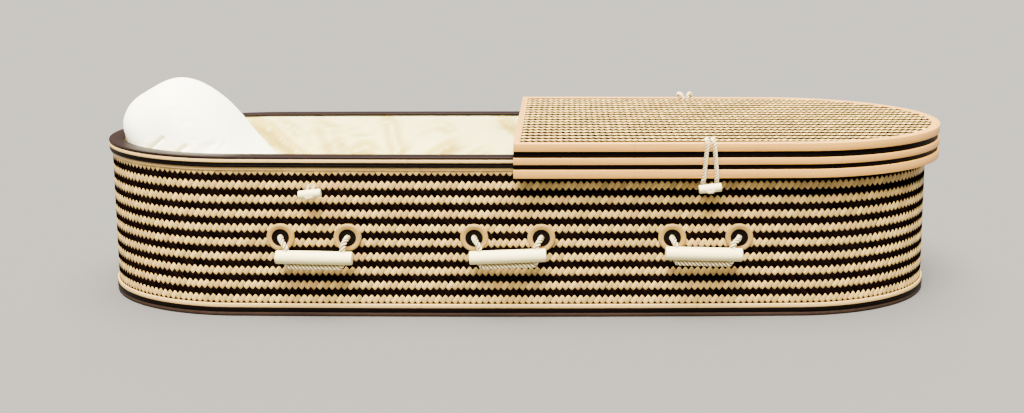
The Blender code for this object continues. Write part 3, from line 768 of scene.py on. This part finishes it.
def sanded_wood(name, colour, roughness):
    # Pale close-grained hardwood, turned and sanded: nearly even colour with faint long grain
    # about 1 mm apart.
    material, tree, shader = new_finish(name, roughness, Specular_IOR_Level=0.35)
    streaks = fibres(tree, 14.0, 700.0)
    grain = add_node(tree, "ShaderNodeValToRGB", links=[(streaks, "Fac", "Fac")],
                     stops=[(0.30, shaded(colour, 0.93)), (0.70, colour)])
    tree.links.new(grain.outputs["Color"], shader.inputs["Base Color"])
    return material


def cotton_cloth(name, colour, crumple, fold_shade=1.0):
    # Plain-woven cotton: matt, with a soft sheen, and shallow crumples 20 to 30 mm apart. Its
    # threads are 0.3 mm apart and too fine to show; they are drawn 1 mm apart. The steep flanks
    # of a fold are painted darker and yellower: painted shade.
    material, tree, shader = new_finish(name, 0.9, Specular_IOR_Level=0.2, Sheen_Weight=0.15)
    shader.inputs["Base Color"].default_value = (*colour, 1)
    # Painted shade: the steep flanks of the folds turn darker and yellower.
    if fold_shade < 1:
        steep = add_node(tree, "ShaderNodeAttribute", {"attribute_name": "fold_shade"})
        fold_shade_colour = [channel * fold_shade ** power for channel, power in zip(colour, (1, 1.4, 3))]
        painted_fold_shade = add_node(tree, "ShaderNodeValToRGB", links=[(steep, "Fac", "Fac")],
                        stops=[(0.0, colour), (1.0, fold_shade_colour)])
        tree.links.new(painted_fold_shade.outputs["Color"], shader.inputs["Base Color"])
    coordinates = add_node(tree, "ShaderNodeTexCoord")
    hollows = add_node(tree, "ShaderNodeTexNoise", {"Scale": 38.0, "Detail": 3.0, "Roughness": 0.45},
                       [(coordinates, "Object", "Vector")])
    threads = add_node(tree, "ShaderNodeTexNoise", {"Scale": 1000.0, "Detail": 0.0},
                       [(coordinates, "Object", "Vector")])
    height = add_node(tree, "ShaderNodeMath", {"operation": "MULTIPLY_ADD", 1: 0.04},
                      [(threads, "Fac", 0), (hollows, "Fac", 2)])
    relief(tree, shader, height, "Value", crumple, 0.6)
    return material


def laid_rope(name, colour):
    # Three-strand cotton rope, laid: matt and soft, with yarns about 0.8 mm apart across a strand.
    material, tree, shader = new_finish(name, 0.88, Specular_IOR_Level=0.2, Sheen_Weight=0.2)
    coordinates = add_node(tree, "ShaderNodeUVMap", {"uv_map": "metres"})
    slanted = add_node(tree, "ShaderNodeMapping", {"Rotation": (0, 0, math.radians(35))},
                       [(coordinates, "UV", "Vector")])
    yarns = add_node(tree, "ShaderNodeTexWave", {"Scale": math.pi / (10 * 0.0016), "bands_direction": "Y"},
                     [(slanted, "Vector", "Vector")])
    # Painted shade: the troughs between the yarns, where the bump is low, are darker.
    shade = add_node(tree, "ShaderNodeValToRGB", links=[(yarns, "Fac", "Fac")],
                     stops=[(0.0, shaded(colour, 0.90)), (0.6, colour)])
    # Painted shade: the grooves between the strands are much darker, by the depth attribute.
    depth = add_node(tree, "ShaderNodeAttribute", {"attribute_name": "depth"})
    groove_shade = add_node(tree, "ShaderNodeValToRGB", links=[(depth, "Fac", "Fac")],
                      stops=[(0.05, [1.0] * 3), (0.45, [0.42, 0.36, 0.28])])
    multiplied(tree, shader, shade, groove_shade)
    relief(tree, shader, yarns, "Fac", 0.0003, 0.4)
    return material


def even_finish(name, colour, roughness):
    # Even matt colour with no visible grain: paint on the floor, the black recess and dark reddish
    # edge of an eyelet, and painted shade on the dark cores behind the weave.
    material, _, shader = new_finish(name, roughness, Specular_IOR_Level=0.06)
    shader.inputs["Base Color"].default_value = (*colour, 1)
    return material


def make_finishes(colours):
    """All the casket's materials."""
    black = list(colours.black)
    split_strip("split bamboo natural", NATURAL_TONES, 0.42, 0.80, 0.3)
    split_strip("split bamboo black", BLACK_TONES, 0.50, 0.70, 0.0)
    bent_batten("bamboo batten natural", list(colours.batten), 0.42, 0.16, 0.310, 0.22, 0.4)
    bent_batten("bamboo batten lid", list(colours.lid_batten), 0.42, 0.26, 0.270, 0.08, 0.4)
    bent_batten("bamboo batten black", black, 0.45, 0.35, 0.290, 0.0, 0.04)
    stained_wood("stained wood cap", list(colours.cap), 0.42)
    stained_wood("stained board", list(colours.board), 0.50)
    sanded_wood("turned wood washer", list(colours.washer), 0.45)
    sanded_wood("sanded dowel", list(colours.dowel), 0.45)
    # Black for the eyelets' recesses, and painted shade on the cores behind the wall and lid weave.
    even_finish("black recess and painted weave shade", shaded(black, 0.8), 0.55)
    even_finish("dark reddish edge", linear(RECESS_EDGE_COLOUR), 0.50)
    laid_rope("laid cotton rope", list(colours.rope))
    cotton_cloth("cotton lining", list(colours.lining), 0.0022, fold_shade=0.62)
    cotton_cloth("cotton pillow cover", list(colours.pillow), 0.0012)


def finish_of(name):
    return bpy.data.materials[name]


class CASKET_OT_stage(bpy.types.Operator):
    """Camera at the photograph's angle, pale floor and soft studio light."""

    bl_idname = "casket.stage"
    bl_label = "Stage"

    def execute(self, context):
        camera_data = bpy.data.cameras.new("camera")
        camera_data.lens = CAMERA_LENS
        camera_data.sensor_width = 36.0
        camera_data.shift_x, camera_data.shift_y = CAMERA_SHIFT
        camera_data.clip_end = 100.0
        camera = bpy.data.objects.new("camera", camera_data)
        camera.location = CAMERA_PLACE
        camera.rotation_euler = (CAMERA_PITCH, 0, 0)
        context.scene.collection.objects.link(camera)
        context.scene.camera = camera

        bpy.ops.mesh.primitive_plane_add(size=60, location=(0, 0, -0.0002))
        floor = context.object
        floor.name = "floor"
        floor.data.materials.append(even_finish("painted floor", linear(FLOOR_COLOUR), 0.9))

        world = bpy.data.worlds.new("studio")
        world.use_nodes = True
        background = world.node_tree.nodes["Background"]
        background.inputs["Color"].default_value = (*WORLD_COLOUR, 1)
        background.inputs["Strength"].default_value = WORLD_STRENGTH
        context.scene.world = world
        for name, turn, energy, spread in LIGHTS:
            sun = bpy.data.lights.new(name, "SUN")
            sun.energy = energy
            sun.angle = math.radians(spread)
            sun.color = LIGHT_COLOUR
            light = bpy.data.objects.new(name, sun)
            light.rotation_euler = [math.radians(angle) for angle in turn]
            light.visible_glossy = name != "fill"
            context.scene.collection.objects.link(light)
        return {"FINISHED"}


class CASKET_OT_finishes(bpy.types.Operator):
    """Materials of bamboo, wood, rope and cloth."""

    bl_idname = "casket.finishes"
    bl_label = "Finishes"

    def execute(self, context):
        make_finishes(context.scene.casket_colours)
        return {"FINISHED"}


class CASKET_OT_handle_ropes(bpy.types.Operator):
    """Six twisted handle ropes, each from eyelet to eyelet through its grip."""

    bl_idname = "casket.handle_ropes"
    bl_label = "Handle ropes"

    def execute(self, context):
        for side_name, side in SIDES:
            for place in HANDLES:
                add_rope(f"rope_{side_name}_{place}", f"handle_rope_{side_name}_{place}",
                         smooth_route(handle_route(place, side), 0.006), HANDLE_ROPE_DIAMETER)
        return {"FINISHED"}


class CASKET_OT_toggle_cords(bpy.types.Operator):
    """Cords that tie the toggles to the wall, and the rope loops that hold the lid down."""

    bl_idname = "casket.toggle_cords"
    bl_label = "Toggle cords and lid loops"

    def execute(self, context):
        for side_name, side in SIDES:
            for place in TOGGLES:
                add_rope(f"cord_{side_name}_{place}", f"toggle_cord_{side_name}_{place}",
                         smooth_route(toggle_route(place, side), 0.003), TOGGLE_CORD_DIAMETER)
            route = smooth_route(loop_route(side, side_name), 0.004)
            add_rope(f"loop_{side_name}", f"lid_loop_{side_name}", route, LOOP_DIAMETER)
        return {"FINISHED"}


class CASKET_OT_base(bpy.types.Operator):
    """Base board and the two battens around the foot of the wall."""

    bl_idname = "casket.base"
    bl_label = "Base"

    def execute(self, context):
        edge = context.scene.casket_sizes.edge
        board = plate("base", lambda out: full_outline(BOARD_PROUD + out), *BASE_BOARD)
        show("base", board, [finish_of("stained board")], ["base_board"])
        show("base_batten_black", hoop("base_batten_black", BASE_BLACK_FACES, BASE_BLACK, edge),
             [finish_of("bamboo batten black")], ["base_band_black"])
        show("base_batten_natural", hoop("base_batten_natural", BASE_NATURAL_FACES, BASE_NATURAL, edge),
             [finish_of("bamboo batten natural")], ["base_band_natural"])
        return {"FINISHED"}


class CASKET_OT_wall(bpy.types.Operator):
    """Wall woven from natural and black strips on the bias, over and under two."""

    bl_idname = "casket.wall"
    bl_label = "Woven wall"

    def execute(self, context):
        sizes = context.scene.casket_sizes
        perimeter = plan_table()[0][-1]
        columns = round(perimeter / sizes.strip_spacing)
        spacing = perimeter / columns
        level = sizes.wall_row / 4
        rise = np.array((spacing / 2, level))
        fall = np.array((spacing / 2, -level))
        origin = np.array((0.0, WALL_WEAVE_BASE))
        sets = (("natural", True, (0, 10), rise, fall / 2, 11), ("black", False, (-1, 9), fall, rise / 2, 12))
        for tone, natural, rows, along, across, seed in sets:
            centres, strips = weave_centres((0, columns), rows, spacing, level, natural)
            name = f"wall_strips_{tone}"
            lengthwise = np.array(FLOAT_LENGTHWISE[tone])
            mesh = strip_mesh(name, centres + origin, strips, along, across, lengthwise, on_wall, seed)
            show(name, mesh, [finish_of(f"split bamboo {tone}")], ["woven_wall"])
        # The core's dark colour is painted shade: it shows in the gaps between the floats.
        core = hoop("wall_core", WALL_CORE_FACES, WALL, sizes.edge)
        show("wall_core", core, [finish_of("black recess and painted weave shade")], ["woven_wall"])
        return {"FINISHED"}


class CASKET_OT_rim(bpy.types.Operator):
    """Three battens around the top of the wall, and the flat cap on it."""

    bl_idname = "casket.rim"
    bl_label = "Rim"

    def execute(self, context):
        edge = context.scene.casket_sizes.edge
        middle = sum(RIM_BLACK) / 2
        bands = (("lower", "lower", RIM_LOWER_FACES, RIM_LOWER, "natural"),
                 ("black_low", "black", RIM_BLACK_FACES, (RIM_BLACK[0], middle), "black"),
                 ("black_high", "black", RIM_BLACK_FACES, (middle, RIM_BLACK[1]), "black"),
                 ("upper", "upper", RIM_UPPER_FACES, RIM_UPPER, "natural"))
        for place, node, faces_out, heights, tone in bands:
            show(f"rim_batten_{place}", hoop(f"rim_batten_{place}", faces_out, heights, edge),
                 [finish_of(f"bamboo batten {tone}")], [f"rim_band_{node}"])
        show("rim_ring", hoop("rim_ring", RIM_CAP_FACES, RIM_CAP, 2 * edge), [finish_of("stained wood cap")],
             ["rim_cap"])
        return {"FINISHED"}


def even_outline(offset, step):
    """The plan at even steps, the length to each of its points and the length of the whole."""
    corners = np.array(full_outline(offset))
    closed = np.vstack((corners, corners[:1]))
    length = lengths_along(closed)
    along = np.linspace(0, length[-1], int(length[-1] / step), endpoint=False)
    outline = np.column_stack([np.interp(along, length, closed[:, axis]) for axis in (0, 1)])
    return outline, along, length[-1]


def hanging_folds(outline, along, total, heights, depth):
    """How far the lining stands in at each height and length: slanting folds and crumples."""
    rng = np.random.default_rng(5)
    level, place = np.meshgrid(heights, along, indexing="ij")
    fall = heights[0] - level

    def from_place(start):
        return (place - start + total / 2) % total - total / 2

    folds = [(start + rng.normal(0, 0.05), rng.uniform(-1.3, 1.3), rng.uniform(0.35, 0.9),
              rng.uniform(0.012, 0.028)) for start in np.arange(0, total, LINING_FOLD_SPACING)]
    beside, slant = LINING_FOLD_BY_PILLOW
    behind = np.abs(outline[:, 0] - beside) + 10 * (outline[:, 1] < 0)
    folds.append((along[np.argmin(behind)], slant, 1.0, 0.020))
    inward = np.zeros(level.shape)
    for start, slant, share, width in folds:
        inward += share * depth * np.exp(-((from_place(start) - slant * fall) / width) ** 2)
    for _ in range(LINING_CRUMPLES):
        angle, reach, width = rng.uniform(-0.6, 0.6), rng.uniform(0.02, 0.07), rng.uniform(0.007, 0.014)
        lengthwise, upwards = from_place(rng.uniform(0, total)), level - rng.uniform(heights[-1], heights[0])
        run = (lengthwise * math.cos(angle) + upwards * math.sin(angle)) / reach
        rise = (upwards * math.cos(angle) - lengthwise * math.sin(angle)) / width
        inward += rng.uniform(0.15, 0.45) * depth * np.exp(-run ** 2 - rise ** 2)
    past_pillow = np.clip((outline[:, 0] - LINING_PILLOW_END) / LINING_PILLOW_FADE, 0, 1)
    share = LINING_PILLOW_SHARE + (1 - LINING_PILLOW_SHARE) * past_pillow
    return inward * np.minimum(1.0, fall / LINING_HELD) * share


class CASKET_OT_lining(bpy.types.Operator):
    """Cotton lining that hangs in soft folds from under the cap and covers the floor."""

    bl_idname = "casket.lining"
    bl_label = "Lining"

    def execute(self, context):
        outline, along, total = even_outline(LINING_FACE, LINING_STEP)
        steps = len(outline)
        inward = -outline * LINING_INWARD
        inward /= np.linalg.norm(inward, axis=1)[:, None]
        heights = np.linspace(LINING_TOP, LINING_FLOOR + LINING_TURN, LINING_ROWS)
        folds = hanging_folds(outline, along, total, heights, context.scene.casket_sizes.fold)
        rows = [np.column_stack((outline + inward * fold[:, None], np.full(steps, height)))
                for fold, height in zip(folds, heights)]
        slope = np.hypot(*np.gradient(folds, heights[0] - heights[1], LINING_STEP))
        hung = rows[-1][:, :2]
        for angle in (25, 50, 75, 90):
            angle = math.radians(angle)
            share = 1 - LINING_TURN * (1 - math.cos(angle)) / HALF_WIDTH
            height = LINING_FLOOR + LINING_TURN * (1 - math.sin(angle))
            rows.append(np.column_stack((hung * share, np.full(steps, height))))
        turned_in = rows[-1][:, :2]
        for share in (0.8, 0.6, 0.4, 0.2, 0.05):
            rows.append(np.column_stack((turned_in * share, np.full(steps, LINING_FLOOR))))
        points = np.vstack(rows)
        faces, uvs = [], []
        for k in range(len(rows) - 1):
            for i in range(steps):
                j = (i + 1) % steps
                face = (k * steps + i, (k + 1) * steps + i, (k + 1) * steps + j, k * steps + j)
                faces.append(face)
                uvs += [points[corner][:2] for corner in face]
        last = [(len(rows) - 1) * steps + i for i in range(steps)]
        faces.append(last)
        uvs += [points[corner][:2] for corner in last]
        mesh = new_mesh("lining_cloth", points.tolist(), faces, uvs)
        # How steep the folds are, for the painted shade on their flanks in the lining's material.
        fold_shade_mask = np.zeros(len(points))
        fold_shade_mask[:slope.size] = np.clip(slope.ravel() / LINING_STEEP, 0, 1)
        mesh.attributes.new("fold_shade", "FLOAT", "POINT").data.foreach_set("value", fold_shade_mask)
        piece = show("lining_cloth", mesh, [finish_of("cotton lining")], ["lining"])
        shell = piece.modifiers.new("cloth", "SOLIDIFY")
        shell.thickness = LINING_CLOTH
        shell.offset = 0
        return {"FINISHED"}


class CASKET_OT_pillow(bpy.types.Operator):
    """Plump pillow at the head end, puffed by a cloth simulation."""

    bl_idname = "casket.pillow"
    bl_label = "Pillow"

    def execute(self, context):
        bm = bmesh.new()
        bmesh.ops.create_cube(bm, size=2)
        bmesh.ops.subdivide_edges(bm, edges=bm.edges[:], cuts=1, use_grid_fill=True)
        half_size = Vector((PILLOW_LENGTH, PILLOW_WIDTH, PILLOW_THICKNESS)) / 2
        for corner in bm.verts:
            rims = round(abs(corner.co.x)) + round(abs(corner.co.y))
            corner.co.z *= PILLOW_RIM_SHARES[rims]
            if rims == 2:
                corner.co.xy *= PILLOW_CORNER_INSET
            corner.co *= half_size
        mesh = bpy.data.meshes.new("pillow_cushion")
        bm.to_mesh(mesh)
        bm.free()
        mesh.transform(Matrix.Translation(PILLOW_CENTRE) @ Matrix.Rotation(PILLOW_SLOPE, 4, "Y"))
        piece = show("pillow_cushion", mesh, [finish_of("cotton pillow cover")], ["pillow"])
        rounding = piece.modifiers.new("rounding", "SUBSURF")
        rounding.levels = rounding.render_levels = 3
        bake(piece)
        puff(piece, context.scene.casket_sizes.pillow_pressure)
        piece.data.shade_smooth()
        return {"FINISHED"}


def bake(piece):
    """Applies the modifiers of a piece to its mesh."""
    bpy.context.view_layer.update()
    evaluated = piece.evaluated_get(bpy.context.evaluated_depsgraph_get())
    mesh = bpy.data.meshes.new_from_object(evaluated)
    mesh.name = piece.name
    piece.modifiers.clear()
    piece.data = mesh


def puff(piece, pressure):
    """Blows the cover up with the Cloth modifier, but moves no point past PILLOW_MOST_PUFF."""
    remesh = piece.modifiers.new("even", "REMESH")
    remesh.mode = "VOXEL"
    remesh.voxel_size = PILLOW_VOXEL
    bake(piece)
    count = len(piece.data.vertices)
    before = np.empty(count * 3)
    piece.data.vertices.foreach_get("co", before)
    cloth = piece.modifiers.new("cloth", "CLOTH")
    cloth.settings.use_pressure = True
    cloth.settings.uniform_pressure_force = pressure
    cloth.settings.tension_stiffness = 12.0
    cloth.settings.bending_stiffness = 0.3
    cloth.settings.effector_weights.gravity = 0.0
    cloth.point_cache.frame_end = 20
    for number in range(1, 21):
        bpy.context.scene.frame_set(number)
    bake(piece)
    bpy.context.scene.frame_set(1)
    after = np.empty(count * 3)
    piece.data.vertices.foreach_get("co", after)
    move = (after - before).reshape(-1, 3)
    far = np.linalg.norm(move, axis=1)
    move *= np.minimum(1.0, PILLOW_MOST_PUFF / np.maximum(far, 1e-9))[:, None]
    piece.data.vertices.foreach_set("co", (before.reshape(-1, 3) + move).ravel())
    piece.data.update()
    rounding = piece.modifiers.new("rounding", "SUBSURF")
    rounding.levels = rounding.render_levels = 1
    bake(piece)
    lean_and_crease(piece)


def lean_and_crease(piece):
    """Leans parts of the cushion in or out, and pinches creases into its front."""
    count = len(piece.data.vertices)
    points = np.empty(count * 3)
    piece.data.vertices.foreach_get("co", points)
    points = points.reshape(-1, 3)
    for centre, reach, move in PILLOW_LEANS:
        away = ((points - centre) / reach) ** 2
        points += np.exp(-away.sum(axis=1))[:, None] * move
    front = np.clip(-points[:, 1] / 0.08, 0, 1)
    for first, last in PILLOW_CREASES:
        first, run = np.array(first), np.subtract(last, first)
        flat = points[:, (0, 2)] - first
        share = np.clip(flat @ run / run.dot(run), 0, 1)
        away = np.linalg.norm(flat - share[:, None] * run, axis=1)
        points[:, 1] += PILLOW_CREASE_DEPTH * front * np.exp(-(away / PILLOW_CREASE_WIDTH) ** 2)
    piece.data.vertices.foreach_set("co", points.ravel())
    piece.data.update()


class CASKET_OT_handles(bpy.types.Operator):
    """Turned eyelets and dowel grips."""

    bl_idname = "casket.handles"
    bl_label = "Eyelets and grips"

    def execute(self, context):
        finishes = [finish_of("turned wood washer"), finish_of("black recess and painted weave shade"), finish_of("dark reddish edge")]
        for side_name, side in SIDES:
            for place in HANDLES:
                at_wall, hang = grip_hang(place, side)
                for end, end_name in ((side, "a"), (-side, "b")):
                    name = f"eyelet_{side_name}_{place}_{end_name}"
                    matrix = at_wall @ Matrix.Translation((end * EYELET_SPACING / 2, 0, 0))
                    washer = turned(name, EYELET_PROFILE, TURNED_STEPS)
                    show(f"washer_{side_name}_{place}_{end_name}", washer, finishes, [name],
                         matrix)
                add_dowel(f"dowel_{side_name}_{place}", f"grip_{side_name}_{place}", GRIP_LENGTH, GRIP_RADIUS,
                          GRIP_EASE, hang)
        return {"FINISHED"}


class CASKET_OT_toggles(bpy.types.Operator):
    """Short dowels that the lid's loops hook on."""

    bl_idname = "casket.toggles"
    bl_label = "Toggles"

    def execute(self, context):
        for side_name, side in SIDES:
            for place in TOGGLES:
                add_dowel(f"peg_{side_name}_{place}", f"toggle_{side_name}_{place}", TOGGLE_LENGTH,
                          TOGGLE_RADIUS, TOGGLE_EASE, toggle_hang(place, side)[1])
        return {"FINISHED"}


def add_dowel(name, node, length, radius, ease, hang):
    """A dowel along local X with eased ends, a little fuller in its middle."""
    half = length / 2
    profile = [(0.0, -half, 0)]
    for angle in (0, 30, 60, 90):
        angle = math.radians(angle)
        profile.append((radius - ease - DOWEL_SWELL + ease * math.sin(angle),
                        -half + ease * (1 - math.cos(angle)), 0))
    profile.append((radius, 0.0, 0))
    profile += [(r, -out, 0) for r, out, _ in profile[-2::-1]]
    mesh = turned(name, profile, TURNED_STEPS)
    mesh.transform(Matrix.Rotation(-math.pi / 2, 4, "Z"))
    show(name, mesh, [finish_of("sanded dowel")], [node], hang)


class CASKET_OT_lid_frame(bpy.types.Operator):
    """Black frame of the half lid, the battens around it and the flat border on top."""

    bl_idname = "casket.lid_frame"
    bl_label = "Lid frame and battens"

    def execute(self, context):
        edge = context.scene.casket_sizes.edge
        black = [finish_of("bamboo batten black")]
        pieces = (("lid_skirt", half_hoop("lid_skirt", LID_SKIRT_FACES, LID_SKIRT, edge)),
                  ("lid_flange", lid_ring("lid_flange", LID_FLANGE_FACES, LID_FLANGE_END, LID_FLANGE, edge)),
                  ("lid_curb", lid_ring("lid_curb", LID_CURB_FACES, LID_BORDER_END, LID_CURB, edge)))
        for name, mesh in pieces:
            show(name, mesh, black, ["lid_frame"])
        natural = [finish_of("bamboo batten lid")]
        for place, heights in LID_BATTENS.items():
            mesh = half_hoop(f"lid_side_batten_{place}", LID_BATTEN_FACES, heights, edge)
            show(f"lid_side_batten_{place}", mesh, natural, [f"lid_batten_{place}"])
        border = lid_ring("lid_top_border", LID_BORDER_FACES, LID_BORDER_END, LID_BORDER, edge)
        show("lid_top_border", border, natural, ["lid_border"])
        return {"FINISHED"}


class CASKET_OT_lid_weave(bpy.types.Operator):
    """Woven top of the lid, its rows running along the casket."""

    bl_idname = "casket.lid_weave"
    bl_label = "Lid weave"

    def execute(self, context):
        sizes = context.scene.casket_sizes
        level = sizes.lid_row / 4
        spacing = sizes.strip_spacing
        rise = np.array((spacing / 2, level))
        fall = np.array((spacing / 2, -level))
        sets = (("natural", True, rise, fall / 2, 21), ("black", False, fall, rise / 2, 22))
        for tone, natural, along, across, seed in sets:
            centres, strips = weave_centres((-40, 120), (-12, 12), spacing, level, natural)
            kept = on_lid(*centres.T, np.zeros(len(centres)))
            inside = np.linalg.norm(kept[:, :2] - centres, axis=1) < 1e-6
            strips = strips - strips.min()
            name = f"lid_strips_{tone}"
            lengthwise = np.array(FLOAT_LENGTHWISE[tone]) * (LID_FLOAT_SHARE[tone], 1)
            mesh = strip_mesh(name, centres[inside], strips[inside], along, across, lengthwise, on_lid, seed)
            show(name, mesh, [finish_of(f"split bamboo {tone}")], ["lid_woven_panel"])
        # The dark core under the lid weave is painted shade that shows in the gaps between the floats.
        start = LID_START + LID_BORDER_END
        core = plate("lid_core", lambda out: lid_outline(LID_BORDER_FACES[0] + out, start - out),
                     LID_BORDER[0], LID_WEAVE_FACE - 0.0019)
        show("lid_core", core, [finish_of("black recess and painted weave shade")], ["lid_woven_panel"])
        return {"FINISHED"}


OPERATORS = (CASKET_OT_stage, CASKET_OT_finishes, CASKET_OT_handle_ropes, CASKET_OT_toggle_cords,
             CASKET_OT_base, CASKET_OT_wall, CASKET_OT_rim, CASKET_OT_lining, CASKET_OT_pillow,
             CASKET_OT_handles, CASKET_OT_toggles, CASKET_OT_lid_frame, CASKET_OT_lid_weave)


class CASKET_PT_pieces(bpy.types.Panel):
    """Sizes, colours and pieces of the casket."""

    bl_idname = "CASKET_PT_pieces"
    bl_label = "Bamboo Casket"
    bl_space_type = "VIEW_3D"
    bl_region_type = "UI"
    bl_category = "Casket"

    def draw(self, context):
        for group in (context.scene.casket_sizes, context.scene.casket_colours):
            for name in group.__annotations__:
                self.layout.prop(group, name)
        for operator in OPERATORS:
            self.layout.operator(operator.bl_idname)


CLASSES = (CasketSizes, CasketColours, *OPERATORS, CASKET_PT_pieces)


def register():
    for item in CLASSES:
        bpy.utils.register_class(item)
    bpy.types.Scene.casket_sizes = bpy.props.PointerProperty(type=CasketSizes)
    bpy.types.Scene.casket_colours = bpy.props.PointerProperty(type=CasketColours)


def unregister():
    del bpy.types.Scene.casket_colours
    del bpy.types.Scene.casket_sizes
    for item in reversed(CLASSES):
        bpy.utils.unregister_class(item)


def main():
    register()
    bpy.ops.casket.stage()
    bpy.ops.casket.finishes()
    bpy.ops.casket.handles()
    bpy.ops.casket.toggles()
    bpy.ops.casket.handle_ropes()
    bpy.ops.casket.toggle_cords()
    bpy.ops.casket.base()
    bpy.ops.casket.wall()
    bpy.ops.casket.rim()
    bpy.ops.casket.lining()
    bpy.ops.casket.pillow()
    bpy.ops.casket.lid_frame()
    bpy.ops.casket.lid_weave()


if __name__ == "__main__":
    main()
